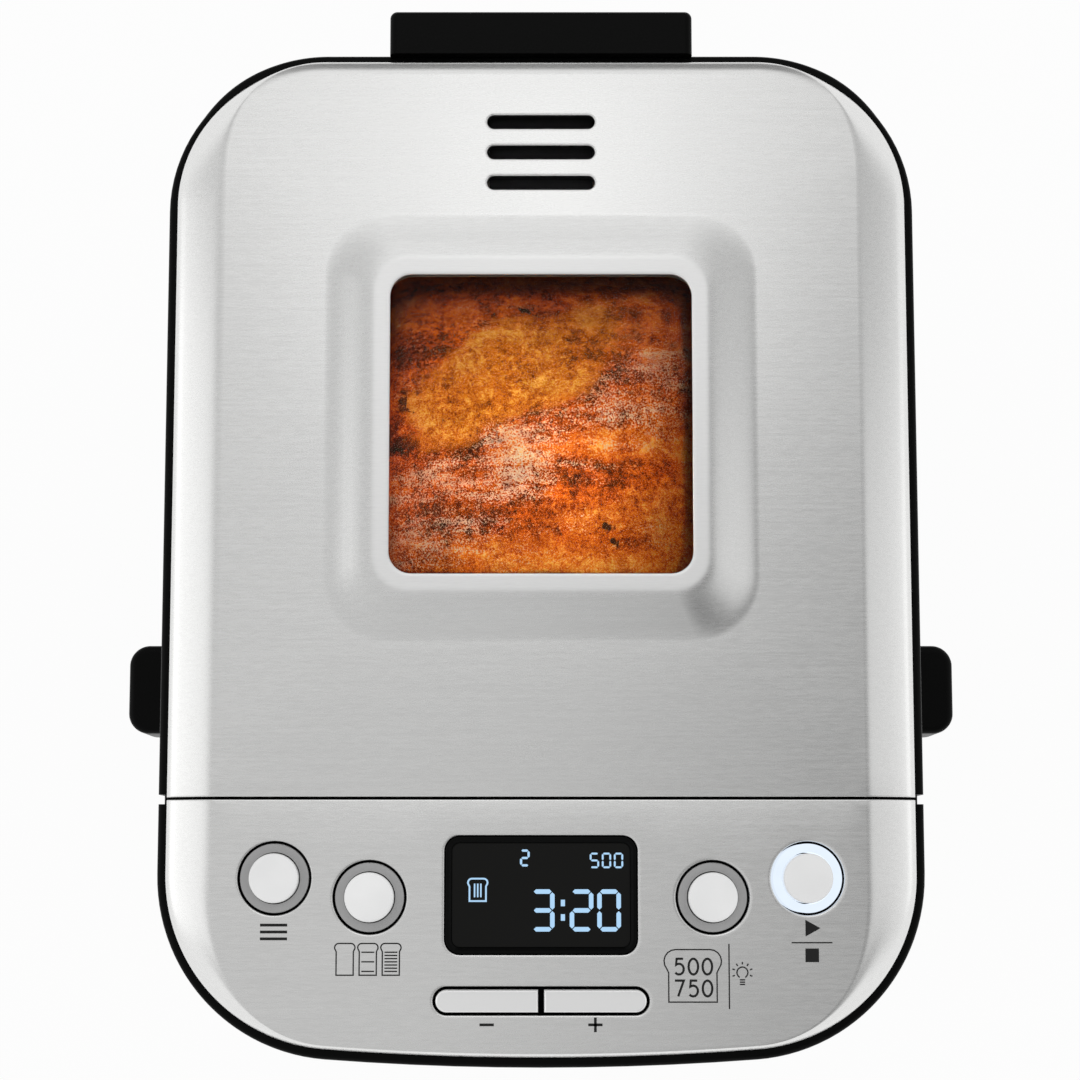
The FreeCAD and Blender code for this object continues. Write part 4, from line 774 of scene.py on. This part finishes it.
class Marks:
    def __init__(self, top):
        self.shell = Shell()
        self.low = top - printLook["sink"]
        self.high = top + printLook["proud"]

    def ring(self, spots, z):
        return self.shell.ring(level(np.array(spots) * mm, z))

    def plate(self, outline):  # straight-sided plate over a convex outline, anticlockwise
        lower = self.ring(outline, self.low)
        upper = self.ring(outline, self.high)
        self.shell.strip(lower, upper, True)
        self.shell.faces.append(tuple(upper))
        self.shell.faces.append(tuple(reversed(lower)))

    def stroke(self, points, wide, closed=False):
        # Each point is pushed to both sides along the mean normal of its two runs
        spots = np.array(points, float)
        ahead = np.roll(spots, -1, axis=0) - spots
        if not closed:
            ahead[-1] = ahead[-2]
        ahead /= np.linalg.norm(ahead, axis=1)[:, None]
        behind = np.roll(ahead, 1, axis=0)
        if not closed:
            behind[0] = ahead[0]
        mean = ahead + behind
        mean /= np.linalg.norm(mean, axis=1)[:, None]
        reach = wide / 2 / np.clip((mean * ahead).sum(axis=1), printLook["mitre"], 1)
        side = mean[:, ::-1] * (-1, 1) * reach[:, None]
        left = spots + side
        right = spots - side
        rims = ((right, self.low), (right, self.high), (left, self.high), (left, self.low))
        self.shell.tube([self.ring(rim, z) for rim, z in rims], closed)

    def row(self, x, y, half, wide):  # one level line
        self.stroke([(x - half, y), (x + half, y)], wide)


sliceLook = {"lobe": 0.2, "waist": 0.4, "turnDeg": 40, "count": 7}


def sliceOutline(left, low, wide, tall):
    # Bread slice: straight sides, two round shoulders wider than the sides
    lobe = wide * sliceLook["lobe"]
    waist = lobe * sliceLook["waist"]
    neck = low + tall - 2 * lobe
    right = left + wide
    turn = sliceLook["turnDeg"]
    spots = [(left + waist, low), (right - waist, low), (right - waist, neck)]
    spots.extend(arcPoints((right - lobe, neck + lobe), lobe, -turn, 90, sliceLook["count"])[0])
    spots.extend(arcPoints((left + lobe, neck + lobe), lobe, 90, 180 + turn, sliceLook["count"])[0])
    return spots + [(left + waist, neck)]


# Seven bars of one digit from the top round to the middle, in widths and half heights
barEnds = {"a": ((0, 2), (1, 2)), "b": ((1, 2), (1, 1)), "c": ((1, 1), (1, 0)), "d": ((0, 0), (1, 0)),
           "e": ((0, 1), (0, 0)), "f": ((0, 2), (0, 1)), "g": ((0, 1), (1, 1))}
digitBars = {"0": "abcdef", "2": "abged", "3": "abgcd", "5": "afgcd"}
barGap = 0.15  # in bar widths, from the corner to the bar's tip


def drawDigit(marks, digit, x, y, wide, tall, thick):
    # Each bar is a plate with pointed ends, a little short of the corners
    for bar in digitBars[digit]:
        start, end = np.array(barEnds[bar]) * (wide, tall / 2) + (x, y)
        along = (end - start) / np.linalg.norm(end - start)
        side = np.array((-along[1], along[0])) * thick / 2
        first = start + along * thick * barGap
        last = end - along * thick * barGap
        inner = along * thick / 2
        marks.plate([first, first + inner - side, last - inner - side, last, last - inner + side,
                     first + inner + side])


# Printed numerals: paths in a box one wide and one tall
numeralPaths = {
    "0": arcPoints((0.5, 0.5), 0.5, 0, 345, 24)[0],
    "5": np.concatenate([[(0.9, 1.0), (0.22, 1.0)],
                         arcPoints((0.46, 0.34), (0.5, 0.34), 128, -140, 18)[0]]),
    "7": np.array([(0.02, 1.0), (0.96, 1.0), (0.36, 0.0)]),
}


def inMillimetres(name):
    middle = nodeMiddle(name)
    return middle.x / mm, middle.y / mm


# Display content, in millimetres from the middle of the lens: plain digits and one slice mark.
# A number is its digits, their places across, its height, then width, height and bar of a digit.
displayLook = {
    "numbers": (("320", (-2.1, 8.2, 15.5), -9.0, (5.1, 9.9, 1.2)), ("2", (-5.3,), 7.8, (2.0, 3.9, 0.6)),
                ("500", (13.2, 16.4, 19.6), 7.3, (2.0, 3.6, 0.5))),
    "colonX": 5.8, "colonY": (-5.9, -2.1), "colonHalf": 0.85, "colonWide": 1.1,
    "slice": (-19.4, -1.6, 5.2, 5.9), "sliceWide": 0.45, "stripes": (0.34, 0.5, 0.66),
    "stripeEnds": (1.0, 1.3), "stripeWide": 0.4,
}


def displayMarks():
    look = displayLook
    marks = Marks(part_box("display_lens")[1].z)
    x, y = inMillimetres("display_lens")
    for digits, places, up, size in look["numbers"]:
        for digit, across in zip(digits, places):
            drawDigit(marks, digit, x + across, y + up, *size)
    for dot in look["colonY"]:
        ends = [(x + look["colonX"], y + dot + reach) for reach in (-look["colonHalf"], look["colonHalf"])]
        marks.stroke(ends, look["colonWide"])
    left, bottom, wide, tall = look["slice"]
    marks.stroke(sliceOutline(x + left, y + bottom, wide, tall), look["sliceWide"], True)
    below, above = look["stripeEnds"]
    for share in look["stripes"]:
        line = x + left + wide * share
        marks.stroke([(line, y + bottom + below), (line, y + bottom + tall - above)], look["stripeWide"])
    marks.shell.build("display_marks", finishes["display_glow"], "machine", False)


# Printed marks on the panel, in millimetres from the middle of the control that each belongs to
listMark = {"rows": (-12.3, -14.1, -15.9), "half": 3.6, "wide": 0.75}
crustMark = {"left": -9.1, "pitch": 6.1, "low": -20.4, "size": (5.4, 8.3), "lines": (0, 3, 7),
             "rows": (-19.4, -14.4), "middle": 2.7, "half": 1.7}
sizeMark = {"slice": (-13.0, -27.4, 15.2, 13.7), "numbers": (("500", -20.2), ("750", -25.9)), "left": -10.2,
            "pitch": 3.7, "numeral": (2.5, 4.1), "wide": 0.612, "barX": 4.2, "barY": (-29.2, -12.2)}
bulbMark = {"spot": (7.7, -19.7), "radius": 1.45, "arc": (-60, 240, 15), "rows": (-1.9, -2.5, -3.1),
            "half": 0.7, "rays": (-20, 20, 55, 90, 125, 160, 200), "rayEnds": (2.1, 2.8)}
startMark = {"shift": 0.9, "play": ((-1.7, -15.3), (2.3, -13.1), (-1.7, -10.9)), "ruleY": -16.9,
             "ruleHalf": 5.4, "stop": ((-1.8, -22.0), (1.8, -22.0), (1.8, -18.4), (-1.8, -18.4))}
signMark = {"below": 6.2, "half": 1.9}


def sizeMarks(marks, fine):  # slice with two numbers, a rule and a lamp
    x, y = inMillimetres("size_button")
    left, low, wide, tall = sizeMark["slice"]
    marks.stroke(sliceOutline(x + left, y + low, wide, tall), fine, True)
    for number, row in sizeMark["numbers"]:
        for place, digit in enumerate(number):
            spot = (x + sizeMark["left"] + place * sizeMark["pitch"], y + row)
            marks.stroke(numeralPaths[digit] * sizeMark["numeral"] + spot, sizeMark["wide"], digit == "0")
    marks.stroke([(x + sizeMark["barX"], y + end) for end in sizeMark["barY"]], fine)
    bulb = (x + bulbMark["spot"][0], y + bulbMark["spot"][1])
    marks.stroke(arcPoints(bulb, bulbMark["radius"], *bulbMark["arc"])[0], fine)
    for row in bulbMark["rows"]:
        marks.row(bulb[0], bulb[1] + row, bulbMark["half"], fine)
    for ray in bulbMark["rays"]:
        marks.stroke([arcPoints(bulb, reach, ray, ray, 1)[0][0] for reach in bulbMark["rayEnds"]], fine)


def panelMarks():
    marks = Marks(skinTop)
    fine = printLook["fine"]
    x, y = inMillimetres("program_button")
    for row in listMark["rows"]:
        marks.row(x, y + row, listMark["half"], listMark["wide"])

    x, y = inMillimetres("crust_button")
    for place, lines in enumerate(crustMark["lines"]):
        left = x + crustMark["left"] + place * crustMark["pitch"]
        marks.stroke(sliceOutline(left, y + crustMark["low"], *crustMark["size"]), fine, True)
        for row in np.linspace(*crustMark["rows"], lines):
            marks.row(left + crustMark["middle"], y + row, crustMark["half"], fine)

    sizeMarks(marks, fine)
    x, y = inMillimetres("start_button")
    x += startMark["shift"]
    marks.plate([(x + across, y + up) for across, up in startMark["play"]])
    marks.row(x, y + startMark["ruleY"], startMark["ruleHalf"], fine)
    marks.plate([(x + across, y + up) for across, up in startMark["stop"]])

    half = signMark["half"]
    for name, strokes in (("minus_key", ((half, 0),)), ("plus_key", ((half, 0), (0, half)))):
        x, y = inMillimetres(name)
        y -= signMark["below"]
        for wayX, wayY in strokes:
            marks.stroke([(x - wayX, y - wayY), (x + wayX, y + wayY)], printLook["bold"])
    marks.shell.build("panel_marks", finishes["print_ink"], "machine", False)


displayMarks()
panelMarks()
print("marks drawn")


# Loaf in the pan: superellipse rings up the pan wall, then a domed crown with soft folds and a torn hollow
loafLook = {
    "half": 67.2 * mm, "power": 4.8, "base": 120.0 * mm, "wall": 196.0 * mm, "crown": 47.0 * mm,
    "rounds": 180, "rings": 84, "bottom": (0.3, 0.7, 0.94), "wallFrom": 24.0 * mm, "wallRings": 7,
    "heel": ((0.985, 3.0 * mm), (1.0, 10.0 * mm)), "firstRing": 0.02, "draft": 3.4 * mm, "fold": 1.0 * mm,
    "foldFade": 4, "hollowDrop": 2.2 * mm, "ridge": 1.6 * mm, "ridgeHalf": 0.22, "ridgeAt": 1.3,
    "ringPower": 1.6, "innerPower": 2.2, "outerPower": 0.55,
}
# Waves of the folds: turn in degrees, length in millimetres, gain, shift
foldWaves = ((38, 62, 1.0, 0.4), (52, 31, 0.6, 1.9), (15, 21, 0.45, 3.1), (100, 40, 0.5, 5.2),
             (70, 13, 0.22, 0.9), (20, 9, 0.16, 2.2))


def foldHeight(x, y):
    # Sum of slanted waves, each turned and shifted against the last
    height = np.zeros_like(x)
    for turn, wave, gain, shift in foldWaves:
        along = x * math.cos(math.radians(turn)) - y * math.sin(math.radians(turn))
        height += gain * np.sin(2 * math.pi * along / (wave * mm) + shift)
    return height


def hollowHeight(x, y):
    # Ridge along the front edge of the hollow, less drop * exp(-reach ^ 4)
    halfX, halfY = crustLook["hollowHalf"]
    u = (x - crustLook["middle"][0]) / crustLook["span"]
    v = (y - crustLook["middle"][1]) / crustLook["span"]
    along = u * slantCos + v * slantSin - crustLook["hollow"][0]
    across = v * slantCos - u * slantSin - crustLook["hollow"][1]
    reach = (along / halfX) ** 2 + (across / halfY) ** 2
    ridgeAcross = (across + loafLook["ridgeAt"] * halfY) / loafLook["ridgeHalf"]
    ridge = np.exp(-ridgeAcross ** 2 - (along / halfX) ** 2)
    return ridge * loafLook["ridge"] - np.exp(-reach ** 2) * loafLook["hollowDrop"]


def loafProfile():  # share of the outline, height, and how much of the folds shows
    look = loafLook
    profile = [(share, look["base"], 0.0) for share in look["bottom"]]
    profile += [(share, look["base"] + up, 0.0) for share, up in look["heel"]]
    wall = np.linspace(look["base"] + look["wallFrom"], look["wall"], look["wallRings"])
    profile += [(1.0, z, 0.0) for z in wall]
    for share in 1 - np.linspace(look["firstRing"], 1.0, look["rings"]) ** look["ringPower"]:
        # Crown: z = wall + crown * (1 - share ^ inner) ^ outer, folds fading out to the edge
        dome = (1 - share ** look["innerPower"]) ** look["outerPower"]
        profile.append((share, look["wall"] + look["crown"] * dome, 1 - share ** look["foldFade"]))
    return profile


def loaf():
    look = loafLook
    middle = nodeMiddle("bread_pan")
    shell = Shell()
    turn = np.linspace(0, 2 * math.pi, look["rounds"], endpoint=False)
    bend = np.abs(np.cos(turn)) ** look["power"] + np.abs(np.sin(turn)) ** look["power"]
    edge = np.column_stack([np.cos(turn), np.sin(turn)]) * bend[:, None] ** (-1 / look["power"])
    rings = []
    for share, z, fade in loafProfile():
        climb = min(1.0, (z - look["base"]) / (look["wall"] - look["base"]))
        spots = edge * (look["half"] - look["draft"] * (1 - climb)) * share
        x = spots[:, 0]
        y = spots[:, 1]
        lift = look["fold"] * foldHeight(x, y) + hollowHeight(x + middle.x, y + middle.y)
        rings.append(np.column_stack([x + middle.x, y + middle.y, z + fade * lift]))
    top = shell.ring(rings.pop()[:1])[0]
    rings = [shell.ring(ring) for ring in rings]
    shell.strips(rings, True)
    shell.faces.append(tuple(reversed(rings[0])))
    last = rings[-1]
    for step in range(len(last)):
        shell.faces.append((last[step], last[(step + 1) % len(last)], top))
    piece = shell.build("loaf_crust", finishes["bread_crust"], "pan")
    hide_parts("loaf")


loaf()
print("loaf made")


# View: long lens from above, leaning a little to the front, as in the photograph
viewLook = {"tiltDeg": 7.5, "focalPx": 2593.0, "framePx": 1080.0, "distance": 0.700, "axisY": -4.95 * mm,
            "sideShift": -0.27 * mm, "sensor": 36.0, "near": 10.0 * mm}


def setCamera():
    tilt = math.radians(viewLook["tiltDeg"])
    camera = bpy.data.cameras.new("view")
    camera.sensor_width = viewLook["sensor"]
    camera.lens = viewLook["focalPx"] / viewLook["framePx"] * viewLook["sensor"]
    camera.clip_start = viewLook["near"]
    holder = placed("view", camera)
    away = viewLook["distance"]
    holder.location = (viewLook["sideShift"], viewLook["axisY"] - away * math.sin(tilt),
                       skinTop + away * math.cos(tilt))
    holder.rotation_euler = (tilt, 0.0, 0.0)
    bpy.context.scene.camera = holder


# Light: broad soft panels left and right, a small one over the back, and one beam into the window
lightLooks = {
    "main_panel": {"place": (-1.25, 0.0, 0.95), "aim": (0.0, 0.0, 0.28), "size": (0.8, 1.2), "power": 1.5},
    "back_panel": {"place": (0.0, 0.47, 1.75), "aim": (0.0, 0.08, 0.29), "size": (0.28, 0.30),
                   "power": 0.25},
    "right_panel": {"place": (0.85, -0.02, 0.95), "aim": (0.0, -0.02, 0.25), "size": (0.5, 1.2),
                    "power": 0.68},
    "window_beam": {"place": (0.0, -0.16, 1.7), "aim": (0.0, 0.035, 0.24), "size": (0.1, 0.1),
                    "power": 0.075, "spreadDeg": 6.0},
}
lampLook = {"inset": 3.0 * mm, "radius": 8.0 * mm, "power": 0.05, "colour": (1.0, 0.80, 0.58)}


def setLights():
    for name, look in lightLooks.items():
        lamp = bpy.data.lights.new(name, "AREA")
        lamp.shape = "RECTANGLE"
        lamp.size, lamp.size_y = look["size"]
        lamp.energy = look["power"]
        holder = placed(name, lamp)
        holder.visible_camera = False
        if "spreadDeg" in look:  # the beam stays out of the mirror image
            lamp.spread = math.radians(look["spreadDeg"])
            holder.visible_glossy = False
        holder.location = look["place"]
        aim = Vector(look["aim"]) - Vector(look["place"])
        holder.rotation_euler = aim.to_track_quat("-Z", "Y").to_euler()
    bulb = bpy.data.lights.new("oven_lamp", "POINT")
    bulb.energy = lampLook["power"]
    bulb.shadow_soft_size = lampLook["radius"]
    bulb.color = lampLook["colour"]
    holder = placed("oven_lamp", bulb)
    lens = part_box("chamber_lamp")[1]
    middle = nodeMiddle("chamber_lamp")
    holder.location = (lens.x + lampLook["radius"] + lampLook["inset"], middle.y, middle.z)


# Studio all round: white, greyer overhead and to the right, with a dark wall low at the back
worldLook = {
    "fill": 0.80, "ceiling": 0.30, "ceilingRise": (0.36, 0.62), "back": (0.22, 0.32),
    "backSide": (0.16, 0.42), "column": (0.0, 0.11), "columnLow": 0.8, "columnGain": 0.35, "grey": 0.47,
    "greyRise": (0.2, 0.55), "side": (0.03, 0.15), "greyBack": (0.0, 0.35), "greyBackShare": 0.7,
    "farSide": (0.2, 0.5), "farShare": 0.55, "wall": 0.75, "wallTop": (0.42, 0.54),
    "wallBack": (0.1, 0.4), "wallSide": (0.25, 0.5),
}


def backdropShare(made):  # camera, mirrored and transmitted rays see the backdrop, the rest see the fill
    share = made.node("ShaderNodeLightPath", output="Is Camera Ray")
    for kind in ("Is Glossy Ray", "Is Transmission Ray"):
        share = share.maths("MAXIMUM", made.node("ShaderNodeLightPath", output=kind))
    return share


def setWorld():
    look = worldLook
    made = Finish("studio", True)
    way = made.node("ShaderNodeTexCoord", output="Generated")
    x, y, z = made.parts(way, "XYZ")
    away = x.maths("ABSOLUTE")
    back = y.rise(*look["back"]) * (1 - away.rise(*look["backSide"]))
    column = away.rise(*look["column"]) * look["columnGain"] + look["columnLow"]
    overhead = z.rise(*look["ceilingRise"]) * (1 - back) * column
    wall = (1 - z.rise(*look["wallTop"])) * y.rise(*look["wallBack"]) * (1 - away.rise(*look["wallSide"]))
    beside = z.rise(*look["greyRise"]) * x.rise(*look["side"])
    beside = beside * (1 - y.rise(*look["greyBack"]) * look["greyBackShare"])
    beside = beside * (1 - x.rise(*look["farSide"]) * look["farShare"])
    white = 1 - overhead * look["ceiling"] - beside * look["grey"] - wall * look["wall"]
    seen = made.node("ShaderNodeBackground", {"Color": white})
    fill = made.node("ShaderNodeBackground", {"Color": (1, 1, 1, 1), "Strength": look["fill"]})
    made.blend(backdropShare(made), fill, seen)
    bpy.context.scene.world = made.material


setCamera()
setLights()
setWorld()
bpy.context.scene.view_settings.view_transform = "Standard"


# Pale floor: white to the camera, to mirrors and through glass, with the shadow kept
floorLook = {"half": 2.5, "base": (0.86, 0.86, 0.86), "dim": 0.98, "cloudScale": 3.0, "rough": 0.5,
             "white": 0.94}


def setFloor():
    half = floorLook["half"]
    mesh = bpy.data.meshes.new("floor")
    corners = [(-half, -half, 0), (half, -half, 0), (half, half, 0), (-half, half, 0)]
    mesh.from_pydata(corners, [], [(0, 1, 2, 3)])
    made = Finish("floor_pale")
    cloud = made.noise(made.place(), floorLook["cloudScale"])
    base = made.mix(cloud, tint(floorLook["base"], floorLook["dim"]), tint(floorLook["base"], 1.0))
    matt = made.node("ShaderNodeBsdfDiffuse", {"Color": base, "Roughness": floorLook["rough"]})
    white = made.node("ShaderNodeEmission", {"Color": (1, 1, 1, 1)})
    made.blend(backdropShare(made) * floorLook["white"], matt, white)
    mesh.materials.append(made.material)
    floor = placed("floor", mesh)


setFloor()
